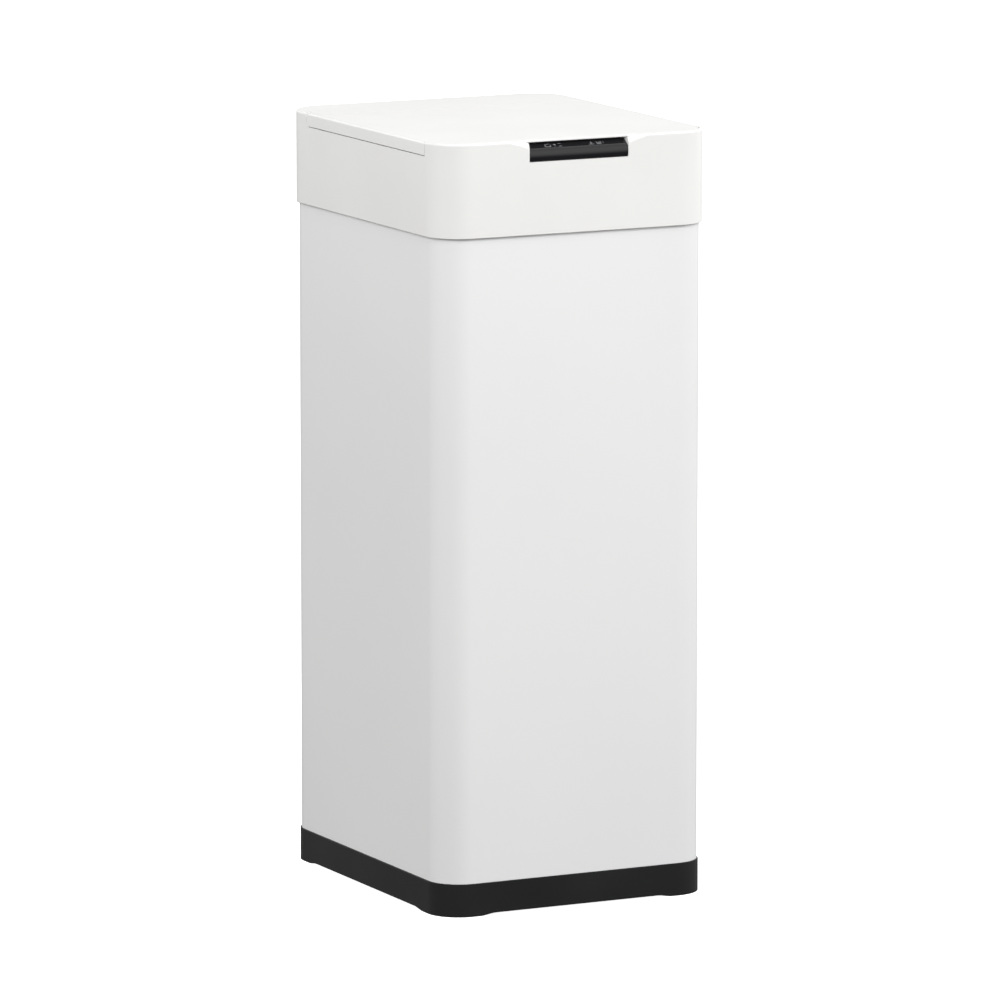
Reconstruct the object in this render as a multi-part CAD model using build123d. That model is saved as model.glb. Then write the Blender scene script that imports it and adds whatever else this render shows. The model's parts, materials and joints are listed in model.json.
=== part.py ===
from build123d import *
import math
import os

os.makedirs("parts", exist_ok=True)

# A tall trash compactor for a kitchen. X runs to the right, Y to the back and Z up. The origin is on
# the floor, under the middle of the head. All sizes are in millimetres.

# ------------------------------------------------------------------------------------ driving sizes
HEIGHT = 800.0              # floor to the top of the lid
HEAD_WIDTH = 313.0
HEAD_DEPTH = 374.0
HEAD_HEIGHT = 97.3
HEAD_RADIUS = 37.3          # upright corners of the head
HEAD_WALL = 3.0
TOP_EDGE = 2.6              # rounding of the head's top edge
SCOOP_RADIUS = 10.0         # the same edge over the control panel
SCOOP_BLEND = 22.0          # length at each end in which the one runs out into the other
LOW_EDGE = 0.8              # rounding of the head's lower edge
SEAM = 0.9                  # gap between the lid and the collar
RUN_GAP = 0.3               # gap beside a face that turns or slides
BORE_GAP = 0.05             # radial clearance of a running shaft

BODY_INSET = 3.2            # the body stands this far inside the head
BODY_SHEET = 0.9
BODY_FLANGE = 8.0           # inward flange at the top of the body
BASE_HEIGHT = 34.8
BASE_PROUD = 1.4            # the base stands this far outside the body
BASE_WALL = 3.0
BASE_ARCH = 2.7             # daylight under the base between its feet
BASE_PLUG = 15.0            # upstand of the base inside the body
FOOT_LENGTH_X = 42.7        # straight part of a foot and corner, from the side
FOOT_LENGTH_Y = 48.0
FOOT_RAMP = 19.0            # length of the curve up to the arch
PAD_RADIUS = 12.0
PAD_PROUD = 0.5
RIB_TOP = 22.0              # the bucket stands on ribs of this height
RIB_STEP = 60.0
TAB_HEIGHT = 52.0

DECK_DEPTH = 83.0           # fixed deck behind the lid
DECK_GAP = 1.2
LID_PLATE = 2.6
LID_FLANGE = 14.2           # height of the lid's side flange
FLANGE_WALL = 4.0
LID_FRONT_Y = 39.5          # the side flange starts this far behind the front face
HINGE_BACK = 62.6           # hinge axis to the rear face
PIN_RADIUS = 3.0
SHAFT_RADIUS = 4.0

WINDOW_WIDTH = 113.0        # control panel
WINDOW_LOW = 22.6           # lower edge of the panel, under the lid's top
WINDOW_FOLD = 10.0          # fold between its two facets
SLOPE_TOP = 3.5             # top of the sloped facet
SLOPE_DEPTH = 10.0
LENS = 2.0
POD_DEPTH = 18.5            # room behind the front face for the boards
LENS_BULGE = 0.9            # the lower facet is this much fuller in its middle
LIP_BACK = 5.0              # the lid's lip starts this far behind the front face
CHEEK = 2.5                 # walls of the pocket behind the panel

RING_FLANGE = 2.0
RING_SIDE = 10.5            # ring to the head's side face
SEAL_HEIGHT = 2.0
RAM_SIDE = 26.5             # ram housing to the head's side face
RAM_WALL = 3.0
RAM_BACK = 13.0             # ram housing to the lid's rear seam
SWING_GAP = 1.3
PLATE_GAP = 3.0             # press plate to the ram housing
PLATE_TRAY = 12.0
PLATE_SHEET = 2.0
BUCKET_WALL = 2.0
BUCKET_TAPER = 12.0         # the bucket is narrower at the bottom by this much each side
BUCKET_FLOOR = 3.0

ARM_HEIGHT = 13.0
ARM_SHEET = 3.0
ARM_PITCH = 14.3            # height of one folded stage
PIVOT_ABOVE_PLATE = 10.4
PIVOT_TO_BACK = 16.0
ROLLER_TO_FRONT = 19.5
ROLLER_RADIUS = 5.0
ROD_RADIUS = 3.0
RAM_OPEN = 52.0             # turn of the first arm from folded to fully down
PLANE_B = 78.0              # middle of the inner arms
PLANE_A = 84.0              # middle of the outer arms
GEAR_PLANE = 91.5           # middle of the ram gears
RAIL_PLANE = 98.2           # middle of the guide rails
RAIL_SHEET = 2.5

RAM_MODULE = 1.25
RAM_GEAR_TEETH = 40
RAM_PINION_TEETH = 12
RAM_MOTOR_RADIUS = 16.0
RAM_MOTOR_LENGTH = 58.0
RAM_GEARBOX_RADIUS = 17.0
RAM_GEARBOX_LENGTH = 34.0
RAM_MOTOR_GAP = 4.4         # gearbox to the lid's underside
LID_MODULE = 1.0
LID_GEAR_TEETH = 28
LID_PINION_TEETH = 12
LID_MOTOR_ANGLE = -82.0      # from the hinge to its motor, turning from the back up
LID_MOTOR_RADIUS = 14.0
LID_MOTOR_LENGTH = 50.0
LID_GEARBOX_RADIUS = 16.0
LID_GEARBOX_LENGTH = 30.0
LID_OPEN = 85.0
GEAR_WIDTH = 5.0
ADDENDUM = 0.8
DEDENDUM = 1.2
BACKLASH = 0.16             # taken off each tooth, in modules
PRESSURE_ANGLE = 20.0

HOUSING_WALL = 2.5
HOUSING_STEP = 4.9          # top of the housing's lower part, under the lid's gearbox
BOARD = 1.6
SWITCH_UNDER_LID = 7.4      # limit switches to the lid's underside
SWITCH_TALL = 10.0
FILTER_X0 = -126.0
FILTER_X1 = -34.0
FILTER_SLOTS = 9
INLET_X = -70.0
INLET_RADIUS = 6.0
INLET_ABOVE = 32.0          # inlet and switch above the head's lower edge
SWITCH_X = -100.0
SWITCH_HALF_X = 8.9
SWITCH_HALF_Z = 10.9
ROCKER_RADIUS = 6.6
ROCKER_HALF = 5.5
ROCKER_BACK = 7.0
MOTOR_X = 100.0             # inner end of the lid's gearbox
TUBE_RADIUS = 5.0           # shaft of the ram
OPEN_GAP = 0.6              # radial clearance of the middle front pivot

# --------------------------------------------------------------------------------- worked out places
FRONT = -HEAD_DEPTH / 2
BACK = HEAD_DEPTH / 2
SIDE = HEAD_WIDTH / 2
HEAD_LOW = HEIGHT - HEAD_HEIGHT
FLOOR_TOP = HEAD_LOW + HEAD_WALL            # top of the collar's floor
LID_UNDER = HEIGHT - LID_PLATE
LID_LOW = HEIGHT - LID_FLANGE
LID_SEAM_Y = BACK - DECK_DEPTH
LID_START = FRONT + LID_FRONT_Y
HINGE_Y = BACK - HINGE_BACK
HINGE_Z = HEIGHT - LID_FLANGE / 2
FLANGE_IN = SIDE - FLANGE_WALL
CHEEK_OUT = FLANGE_IN - SEAM
CHEEK_IN = CHEEK_OUT - 5.0
POD_BACK = FRONT + POD_DEPTH

RING_TOP = FLOOR_TOP + RING_FLANGE
SEAL_TOP = RING_TOP + SEAL_HEIGHT
RAM_LOW = SEAL_TOP + RUN_GAP
PLATE_LOW = RAM_LOW + 5.0
PLATE_TOP = PLATE_LOW + PLATE_TRAY
RAM_REAR = LID_SEAM_Y - RAM_BACK
SWING = HINGE_Y - POD_BACK - SWING_GAP
RAM_FRONT = HINGE_Y - math.sqrt(SWING ** 2 - (HINGE_Z - RAM_LOW) ** 2)
RAM_Y = (RAM_FRONT + RAM_REAR) / 2
RAM_DEPTH = RAM_REAR - RAM_FRONT
RAM_WIDTH = HEAD_WIDTH - 2 * RAM_SIDE
PLATE_WIDTH = RAM_WIDTH - 2 * (RAM_WALL + PLATE_GAP)
PLATE_DEPTH = RAM_DEPTH - 2 * (RAM_WALL + PLATE_GAP)
THROAT_WIDTH = RAM_WIDTH - 2 * RAM_WALL
THROAT_DEPTH = RAM_DEPTH - 2 * RAM_WALL

RING_WIDTH = HEAD_WIDTH - 2 * RING_SIDE
RING_MARGIN = (RING_WIDTH - THROAT_WIDTH) / 2
RING_DEPTH = THROAT_DEPTH + 2 * RING_MARGIN + 8.0
MOUTH_WIDTH = RING_WIDTH - 6.0              # opening in the collar's floor
MOUTH_DEPTH = RING_DEPTH - 6.0
BUCKET_RIM = 2.0
BUCKET_WIDTH = MOUTH_WIDTH - 2 - 2 * BUCKET_RIM
BUCKET_DEPTH = MOUTH_DEPTH - 2 - 2 * BUCKET_RIM

PIVOT_Y = RAM_REAR - RAM_WALL - PIVOT_TO_BACK
ROLLER_Y = RAM_FRONT + RAM_WALL + ROLLER_TO_FRONT
LOWER_Z = PLATE_TOP + PIVOT_ABOVE_PLATE
MIDDLE_Z = LOWER_Z + ARM_PITCH
UPPER_Z = MIDDLE_Z + ARM_PITCH
ARM_SPAN = PIVOT_Y - ROLLER_Y
ARM_LENGTH = math.hypot(ARM_SPAN, ARM_PITCH)
FOLDED_ANGLE = math.degrees(math.asin(ARM_PITCH / ARM_LENGTH))
ROLLER_TRAVEL = ARM_SPAN - ARM_LENGTH * math.cos(math.radians(FOLDED_ANGLE + RAM_OPEN))
CENTRE_Y = (PIVOT_Y + ROLLER_Y) / 2

RAM_GEAR_REACH = RAM_MODULE * (RAM_GEAR_TEETH + RAM_PINION_TEETH) / 2
RAM_MOTOR_Z = LID_UNDER - RAM_MOTOR_GAP - RAM_GEARBOX_RADIUS
RAM_MOTOR_ANGLE = 180 - math.degrees(math.asin((RAM_MOTOR_Z - UPPER_Z) / RAM_GEAR_REACH))
RAM_MOTOR_Y = PIVOT_Y + RAM_GEAR_REACH * math.cos(math.radians(RAM_MOTOR_ANGLE))
LID_GEAR_REACH = LID_MODULE * (LID_GEAR_TEETH + LID_PINION_TEETH) / 2
LID_MOTOR_Y = HINGE_Y + LID_GEAR_REACH * math.cos(math.radians(LID_MOTOR_ANGLE))
LID_MOTOR_Z = HINGE_Z + LID_GEAR_REACH * math.sin(math.radians(LID_MOTOR_ANGLE))

BODY_WIDTH = HEAD_WIDTH - 2 * BODY_INSET
BODY_DEPTH = HEAD_DEPTH - 2 * BODY_INSET
BODY_RADIUS = HEAD_RADIUS - BODY_INSET
BASE_WIDTH = BODY_WIDTH + 2 * BASE_PROUD
BASE_DEPTH = BODY_DEPTH + 2 * BASE_PROUD
BASE_RADIUS = BODY_RADIUS + BASE_PROUD

DECK_FRONT = LID_SEAM_Y + DECK_GAP
HOUSING_SIDE = CHEEK_IN - 0.6
HOUSING_TOP = LID_UNDER - 1.0
HOUSING_FRONT_UP = DECK_FRONT - 6.2         # front wall beside the motors
HOUSING_FRONT_LOW = RAM_Y + RING_DEPTH / 2 + 1.0
HOUSING_BACK = BACK - HEAD_WALL - 0.3
STEP_Z = LID_MOTOR_Z - LID_GEARBOX_RADIUS - HOUSING_STEP
FILTER_LOW = STEP_Z + 6.0
FILTER_HIGH = HOUSING_TOP - 3.0
INLET_Z = HEAD_LOW + INLET_ABOVE
ROCKER_Y = BACK - ROCKER_BACK
LID_GEAR_X1 = HOUSING_SIDE - HOUSING_WALL - 2.0
LID_GEAR_X0 = LID_GEAR_X1 - GEAR_WIDTH

RAIL_LOW = UPPER_Z - 11.0
RAIL_FRONT = ROLLER_Y - 12.0
RAIL_BACK = PIVOT_Y + 13.0
RUN_HOLE = ROD_RADIUS + BORE_GAP
OPEN_HOLE = ROD_RADIUS + OPEN_GAP


# ------------------------------------------------------------------------------------ plain helpers
def slab(width, depth, radius, low, high, y=0.0):
    """Upright block with round corners, from one height to another."""
    return extrude(Pos(0, y, low) * RectangleRounded(width, depth, radius), amount=high - low)


def block(x0, x1, y0, y1, z0, z1):
    """Box between two corners."""
    return Pos((x0 + x1) / 2, (y0 + y1) / 2, (z0 + z1) / 2) * Box(x1 - x0, y1 - y0, z1 - z0)


def rod_x(x0, x1, y, z, radius):
    """Round bar along X."""
    return Pos((x0 + x1) / 2, y, z) * Rot(0, 90, 0) * Cylinder(radius, x1 - x0)


def rod_y(y0, y1, x, z, radius):
    """Round bar along Y."""
    return Pos(x, (y0 + y1) / 2, z) * Rot(90, 0, 0) * Cylinder(radius, y1 - y0)


def rod_z(z0, z1, x, y, radius):
    """Upright round bar."""
    return Pos(x, y, (z0 + z1) / 2) * Cylinder(radius, z1 - z0)


def prism_x(x0, x1, points):
    """Straight bar along X whose section is a polygon of (y, z) points."""
    return extrude(Plane.YZ.offset(x0) * Polygon(*points, align=None), amount=x1 - x0, dir=(1, 0, 0))


def both(shape_at):
    """Left and right copy of a shape that takes the side, -1 or 1."""
    return [shape_at(-1), shape_at(1)]


def span(side, near, far):
    """The two X ends of a piece from near to far on one side."""
    return (near, far) if side > 0 else (-far, -near)


def group(solids):
    """Separate solids that share one node."""
    return Compound(children=list(solids))


def slot_x(x0, x1, y0, y1, z, radius):
    """Long hole along X through a sheet, with round ends at y0 and y1."""
    return (
        block(x0, x1, y0, y1, z - radius, z + radius)
        + rod_x(x0, x1, y0, z, radius)
        + rod_x(x0, x1, y1, z, radius)
    )


def screw_z(x, y, seat, length, radius, down=True):
    """Pan-head screw on a vertical line, its head on the seat and its shank going down or up."""
    way = -1 if down else 1
    head_low, head_high = sorted((seat, seat - way * 1.6 * radius))
    shank_low, shank_high = sorted((seat, seat + way * length))
    head = rod_z(head_low, head_high, x, y, 2 * radius)
    head = chamfer(head.edges().sort_by(Axis.Z)[-1 if down else 0], 0.4 * radius)
    recess = block(x - radius, x + radius, y - 0.25 * radius, y + 0.25 * radius, -1, 1)
    recess = Pos(0, 0, head_high if down else head_low) * recess
    return head + rod_z(shank_low, shank_high, x, y, radius) - recess


def involute(base, radius):
    """Angle that an involute has turned when it reaches a radius."""
    turn = math.sqrt(max((radius / base) ** 2 - 1, 0.0))
    return turn - math.atan(turn)


def gear(module, teeth, x0, x1, y, z, phase, first=0, last=None):
    """Spur gear about an X axis with tooth 0 at the phase angle, or only its teeth first to last."""
    count = teeth if last is None else last - first + 1
    pitch = module * teeth / 2
    base = pitch * math.cos(math.radians(PRESSURE_ANGLE))
    root = pitch - DEDENDUM * module
    tip = pitch + ADDENDUM * module
    half = math.pi / 2 / teeth - BACKLASH / teeth + involute(base, pitch)
    flank = [max(base, root) + k / 4 * (tip - max(base, root)) for k in range(5)]
    outline = []
    for number in range(first, first + count):
        middle = math.radians(phase) + 2 * math.pi * number / teeth
        rising = [(root, -half)] + [(r, -half + involute(base, r)) for r in flank]
        falling = [(r, -turn) for r, turn in reversed(rising)]
        for r, turn in rising + falling:
            outline.append((y + r * math.cos(middle + turn), z + r * math.sin(middle + turn)))
    if last is not None:
        outline.append((y, z))
    return prism_x(x0, x1, outline)


# ------------------------------------------------------------------------------------------ the base
def make_base_tray():
    """Black tray under the body, with four feet, ribs for the bucket and four screw bosses."""
    tray = slab(BASE_WIDTH, BASE_DEPTH, BASE_RADIUS, PAD_PROUD, BASE_HEIGHT)
    tray = fillet(tray.faces().sort_by(Axis.Z)[-1].edges(), 0.6)
    plug_width = BODY_WIDTH - 2 * BODY_SHEET - 0.6
    plug_depth = BODY_DEPTH - 2 * BODY_SHEET - 0.6
    plug_radius = BODY_RADIUS - BODY_SHEET - 0.3
    tray += slab(plug_width, plug_depth, plug_radius, BASE_HEIGHT, BASE_HEIGHT + BASE_PLUG)
    floor = BASE_ARCH + 4.0
    hollow = slab(plug_width - 2 * BASE_WALL, plug_depth - 2 * BASE_WALL,
                  plug_radius - BASE_WALL, floor, BASE_HEIGHT + BASE_PLUG)
    tray -= hollow
    ribs = [block(-plug_width / 2, plug_width / 2, y - 1.5, y + 1.5, floor, RIB_TOP)
            for y in [RAM_Y + k * RIB_STEP for k in range(-2, 4)]]
    ribs += [block(x - 1.5, x + 1.5, -plug_depth / 2, plug_depth / 2, floor, RIB_TOP)
             for x in [k * RIB_STEP for k in range(-2, 3)]]
    for rib in ribs:
        tray += rib & hollow
    for x, y in base_screw_places():
        tray += rod_z(floor, TAB_HEIGHT, x, y, 5.5)
        tray -= rod_z(0, TAB_HEIGHT + 1, x, y, 2.2)
        tray -= rod_z(0, floor, x, y, 4.6)
    for arch in base_arches():
        tray -= arch
    for x, y in pad_places():
        tray -= rod_z(0, PAD_PROUD + 2, x, y, PAD_RADIUS)
    return tray


def base_arches():
    """Shallow tunnels under the tray, whose ends rise from the feet in a gentle S."""
    arches = []
    for half, foot, plane, length in (
        (BASE_WIDTH / 2, FOOT_LENGTH_X, Plane.XZ, BASE_DEPTH),
        (BASE_DEPTH / 2, FOOT_LENGTH_Y, Plane.YZ, BASE_WIDTH),
    ):
        low = half - foot
        high = low - FOOT_RAMP
        left = Spline((-low, PAD_PROUD), (-high, BASE_ARCH), tangents=((1, 0), (1, 0)))
        right = Spline((high, BASE_ARCH), (low, PAD_PROUD), tangents=((1, 0), (1, 0)))
        top = Line((-high, BASE_ARCH), (high, BASE_ARCH))
        under = Polyline((low, PAD_PROUD), (low, -1), (-low, -1), (-low, PAD_PROUD))
        face = plane * make_face(left + top + right + under)
        arches.append(extrude(face, amount=length, both=True))
    return arches


def pad_places():
    """Middles of the four foot pads."""
    x = BASE_WIDTH / 2 - 24
    y = BASE_DEPTH / 2 - 26
    return [(-x, -y), (x, -y), (-x, y), (x, y)]


def make_foot_pads():
    """Four rubber discs set into the feet."""
    return group(rod_z(0, PAD_PROUD + 2, x, y, PAD_RADIUS - 0.1) for x, y in pad_places())


def base_screw_places():
    """Middles of the four screws that hold the body to the base."""
    x = BODY_WIDTH / 2 - BODY_SHEET - 10
    return [(-x, -100), (x, -100), (-x, 100), (x, 100)]


def make_base_screws():
    """Screws that go up through the base into the body's tabs."""
    seat = BASE_ARCH + 4.0
    return group(screw_z(x, y, seat, TAB_HEIGHT + 6 - seat, 2.0, down=False)
                 for x, y in base_screw_places())


def make_body_shell():
    """Sheet-steel tube with an inward flange at the top and four screw tabs near the bottom."""
    shell = slab(BODY_WIDTH, BODY_DEPTH, BODY_RADIUS, BASE_HEIGHT, HEAD_LOW)
    shell -= slab(BODY_WIDTH - 2 * BODY_SHEET, BODY_DEPTH - 2 * BODY_SHEET,
                  BODY_RADIUS - BODY_SHEET, BASE_HEIGHT, HEAD_LOW - BODY_SHEET)
    shell -= slab(BODY_WIDTH - 2 * BODY_FLANGE, BODY_DEPTH - 2 * BODY_FLANGE,
                  BODY_RADIUS - BODY_FLANGE, BASE_HEIGHT, HEAD_LOW)
    inside = BODY_WIDTH / 2 - BODY_SHEET
    for x, y in base_screw_places():
        side = 1 if x > 0 else -1
        x0, x1 = span(side, inside - 16, inside)
        u0, u1 = span(side, inside - 1.5, inside)
        tab = block(x0, x1, y - 11, y + 11, TAB_HEIGHT, TAB_HEIGHT + 1.5)
        tab += block(u0, u1, y - 11, y + 11, TAB_HEIGHT, TAB_HEIGHT + 14)
        shell += tab - rod_z(TAB_HEIGHT - 1, TAB_HEIGHT + 3, x, y, 2.0)
    for x, y in collar_screw_places():
        shell -= rod_z(HEAD_LOW - 2, HEAD_LOW + 1, x, y, 1.6)
    return shell


# ---------------------------------------------------------------------------------------- the head
def head_form():
    """Outer form of the whole head, with its rounded edges and the softer edge over the panel."""
    form = slab(HEAD_WIDTH, HEAD_DEPTH, HEAD_RADIUS, HEAD_LOW, HEIGHT)
    form = fillet(form.faces().sort_by(Axis.Z)[-1].edges(), TOP_EDGE)
    form = fillet(form.faces().sort_by(Axis.Z)[0].edges(), LOW_EDGE)
    half = WINDOW_WIDTH / 2 + 1.0
    form -= extrude(scoop_section(half, SCOOP_RADIUS), amount=2 * half, dir=(-1, 0, 0))
    for side in (-1, 1):
        form -= loft([scoop_section(side * half, SCOOP_RADIUS),
                      scoop_section(side * (half + SCOOP_BLEND), TOP_EDGE)])
    return form


def scoop_section(x, radius):
    """What a rounding takes off the front top edge, drawn at one place along X."""
    slack = 0.15
    reach = radius + slack
    centre_y = FRONT + reach - slack / 3
    centre_z = HEIGHT - reach + slack / 3
    diagonal = reach / math.sqrt(2)
    curve = ThreePointArc((centre_y - reach, centre_z), (centre_y - diagonal, centre_z + diagonal),
                          (centre_y, centre_z + reach))
    outside = Polyline((centre_y, centre_z + reach), (centre_y, HEIGHT + 1), (FRONT - 1, HEIGHT + 1),
                       (FRONT - 1, centre_z), (centre_y - reach, centre_z))
    return Plane.YZ.offset(x) * make_face(curve + outside)


def collar_screw_places():
    """Screws through the collar's floor into the body's flange."""
    x = BODY_WIDTH / 2 - 3.5
    y = BODY_DEPTH / 2 - 3.5
    return [(-x, -100), (x, -100), (-x, 20), (x, 20), (-x, 140), (x, 140), (-90, -y), (90, -y)]


def hinge_side_cut():
    """Room for the lid's side flanges, a seam wide all round."""
    cuts = []
    radius = LID_FLANGE / 2 + SEAM
    for side in (-1, 1):
        x0, x1 = span(side, CHEEK_OUT, SIDE + 1)
        cuts.append(block(x0, x1, LID_START - SEAM, HINGE_Y, HINGE_Z - radius, HEIGHT + 1))
        cuts.append(rod_x(x0, x1, HINGE_Y, HINGE_Z, radius))
        cuts.append(block(x0, x1, HINGE_Y, HINGE_Y + radius, HINGE_Z, HEIGHT + 1))
    return cuts


def make_head_collar():
    """White plastic ring round the head, with the fixed rear deck, hinge cheeks and panel opening."""
    form = head_form()
    collar = form - slab(HEAD_WIDTH - 2 * HEAD_WALL, HEAD_DEPTH - 2 * HEAD_WALL,
                         HEAD_RADIUS - HEAD_WALL, FLOOR_TOP, HEIGHT + 1)
    collar -= slab(MOUTH_WIDTH, MOUTH_DEPTH, 33, HEAD_LOW - 1, FLOOR_TOP + 1, RAM_Y)
    collar += form & block(-SIDE, SIDE, DECK_FRONT, BACK, LID_UNDER, HEIGHT)
    for cut in hinge_side_cut():
        collar -= cut
    for side in (-1, 1):
        x0, x1 = span(side, CHEEK_IN, CHEEK_OUT)
        cheek = block(x0, x1, HINGE_Y - 13, HINGE_Y + 13, HINGE_Z - 15, LID_UNDER)
        bore = PIN_RADIUS if side < 0 else SHAFT_RADIUS + BORE_GAP
        collar += cheek
        collar -= rod_x(x0 - 1, x1 + 1, HINGE_Y, HINGE_Z, bore)
    half = WINDOW_WIDTH / 2
    low = HEIGHT - WINDOW_LOW
    collar -= block(-half, half, FRONT - 1, FRONT + HEAD_WALL + 0.1, low, HEIGHT + 1)
    for side in (-1, 1):
        x0, x1 = span(side, half, half + CHEEK)
        collar += form & block(x0, x1, FRONT + 2, POD_BACK, low - 2 * CHEEK, LID_UNDER - 0.6)
    collar += block(-half - CHEEK, half + CHEEK, FRONT + 2, POD_BACK, low - 2 * CHEEK, low - CHEEK)
    for x, y in collar_screw_places():
        collar -= rod_z(HEAD_LOW - 1, FLOOR_TOP + 1, x, y, 1.8)
    collar -= rod_y(BACK - 5, BACK + 1, INLET_X, INLET_Z, INLET_RADIUS)
    collar -= block(SWITCH_X - SWITCH_HALF_X - 0.1, SWITCH_X + SWITCH_HALF_X + 0.1, BACK - 5, BACK + 1,
                    INLET_Z - SWITCH_HALF_Z - 0.1, INLET_Z + SWITCH_HALF_Z + 0.1)
    return collar


def make_collar_screws():
    """Short screws that hold the collar down on the body's flange."""
    return group(screw_z(x, y, FLOOR_TOP, 5.5, 1.6) for x, y in collar_screw_places())


def slope_points(inset):
    """Section of the panel's outer skin, moved in by a distance: foot, fold and top."""
    tilt = math.atan2(WINDOW_FOLD - SLOPE_TOP, SLOPE_DEPTH)
    fold_y = FRONT + inset
    fold_z = HEIGHT - WINDOW_FOLD - inset * math.tan((math.pi / 2 - tilt) / 2)
    top_y = FRONT + SLOPE_DEPTH + inset * math.sin(tilt)
    top_z = HEIGHT - SLOPE_TOP - inset * math.cos(tilt)
    return (FRONT + inset, HEIGHT - WINDOW_LOW + 0.2), (fold_y, fold_z), (top_y, top_z)


def make_panel_lens():
    """Glossy black panel, folded once: an upright lower facet and a sloped upper one."""
    foot, fold, top = slope_points(LENS_BULGE)
    inner = slope_points(LENS_BULGE + LENS)
    half = WINDOW_WIDTH / 2 - 0.2
    bulge = ThreePointArc(foot, (FRONT, (foot[1] + fold[1]) / 2), fold)
    back = Polyline(fold, top, *reversed(inner), foot)
    lens = extrude(Plane.YZ.offset(-half) * make_face(bulge + back), amount=2 * half, dir=(1, 0, 0))
    edges = lens.edges().filter_by(Axis.X)
    fold_edge = edges.sort_by(lambda edge: math.hypot(edge.center().Y - fold[0], edge.center().Z - fold[1]))
    return fillet(fold_edge[0], 1.0)


def make_panel_board():
    """Upright circuit board behind the lower facet."""
    y = FRONT + LENS + 5.0
    board = block(-52, 52, y, y + BOARD, HEIGHT - WINDOW_LOW + 0.5, HEIGHT - WINDOW_FOLD - 1)
    parts = [board]
    for x in (-40, -14, 14, 40):
        parts.append(block(x - 4, x + 4, y + BOARD, y + 3.4, HEIGHT - 20, HEIGHT - 14))
    return group(parts)


def make_touch_board():
    """Sloped circuit board with the two touch pads, just under the upper facet."""
    low = slope_points(LENS_BULGE + LENS + 0.4)
    high = slope_points(LENS_BULGE + LENS + 1.6)
    fold, top = low[1], low[2]
    return prism_x(-50, 50, [(fold[0] + 1.2, fold[1] + 0.8), top, high[2],
                             (high[1][0] + 1.2, high[1][1] + 0.8)])


def make_ir_sensors():
    """Transmitter and receiver of the hand sensor, behind the lower facet."""
    y = FRONT + LENS + 5.0
    z = HEIGHT - 17.0
    return group(rod_y(y - 3.2, y, x, z, 2.5) for x in (-6, 6))


# --------------------------------------------------------------------------- housing behind the lid
def make_rear_housing():
    """Stepped box under the deck that holds the boards, the supply, the lid's drive and the filter."""
    low = block(-HOUSING_SIDE, HOUSING_SIDE, HOUSING_FRONT_LOW, HOUSING_BACK, FLOOR_TOP, HOUSING_TOP)
    up = block(-HOUSING_SIDE, HOUSING_SIDE, HOUSING_FRONT_UP, HOUSING_BACK, STEP_Z, HOUSING_TOP)
    inner = HOUSING_SIDE - HOUSING_WALL
    low_in = block(-inner, inner, HOUSING_FRONT_LOW + HOUSING_WALL, HOUSING_BACK + 1,
                   FLOOR_TOP + HOUSING_WALL, HOUSING_TOP + 1)
    up_in = block(-inner, inner, HOUSING_FRONT_UP + HOUSING_WALL, HOUSING_BACK + 1,
                  STEP_Z + HOUSING_WALL, HOUSING_TOP + 1)
    room = slab(HEAD_WIDTH - 2 * HEAD_WALL - 0.6, HEAD_DEPTH - 2 * HEAD_WALL - 0.6,
                HEAD_RADIUS - HEAD_WALL - 0.3, FLOOR_TOP, HOUSING_TOP)
    housing = ((low + up) & room) - low_in - up_in
    wall_x = MOTOR_X + LID_GEARBOX_LENGTH
    rib = block(wall_x, wall_x + 3, HOUSING_FRONT_UP + 1, HINGE_Y + 22, STEP_Z + 1, HOUSING_TOP)
    housing += rib
    housing -= rod_x(wall_x - 1, wall_x + 4, LID_MOTOR_Y, LID_MOTOR_Z, 4.0)
    housing -= rod_x(inner - 1, HOUSING_SIDE + 1, HINGE_Y, HINGE_Z, SHAFT_RADIUS + 1.0)
    slots = [block(x - 2, x + 2, HOUSING_FRONT_UP - 1, HOUSING_FRONT_UP + HOUSING_WALL + 1,
                   FILTER_LOW + 4, FILTER_HIGH - 4) for x in filter_slots()]
    for opening in slots:
        housing -= opening
    return housing


def filter_slots():
    """Middles of the air slots along X."""
    step = (FILTER_X1 - FILTER_X0 - 16) / (FILTER_SLOTS - 1)
    return [FILTER_X0 + 8 + k * step for k in range(FILTER_SLOTS)]


def make_filter_cover():
    """Slotted cover in front of the charcoal filter."""
    y1 = HOUSING_FRONT_UP
    cover = block(FILTER_X0, FILTER_X1, y1 - 2, y1, FILTER_LOW, FILTER_HIGH)
    cover = fillet(cover.edges().filter_by(Axis.Y), 3.0)
    for x in filter_slots():
        cover -= block(x - 1.5, x + 1.5, y1 - 3, y1 + 1, FILTER_LOW + 5, FILTER_HIGH - 5)
    return cover


def make_odour_filter():
    """Charcoal cassette behind the slots."""
    y0 = HOUSING_FRONT_UP + HOUSING_WALL
    return block(FILTER_X0, FILTER_X1, y0, y0 + 10, FILTER_LOW, FILTER_HIGH)


def make_main_board():
    """Control board that stands against the rear wall of the housing."""
    y = HOUSING_BACK - 6
    board = block(-50, 45, y - BOARD, y, FLOOR_TOP + 8, FLOOR_TOP + 68)
    chips = [(-35, 20, 14, 3), (-10, 30, 10, 2), (10, 12, 12, 9), (30, 40, 9, 12), (-30, 48, 16, 8)]
    parts = [board]
    for x, z, size, tall in chips:
        parts.append(block(x - size / 2, x + size / 2, y - BOARD - tall, y - BOARD,
                           FLOOR_TOP + 8 + z - size / 2, FLOOR_TOP + 8 + z + size / 2))
    return group(parts)


def make_power_supply():
    """Sealed power module on the housing's floor."""
    z0 = FLOOR_TOP + HOUSING_WALL
    y0 = HOUSING_FRONT_LOW + HOUSING_WALL + 3
    module = block(-45, 60, y0, y0 + 38, z0, z0 + 30)
    return fillet(module.edges().filter_by(Axis.Z), 3.0)


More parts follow.
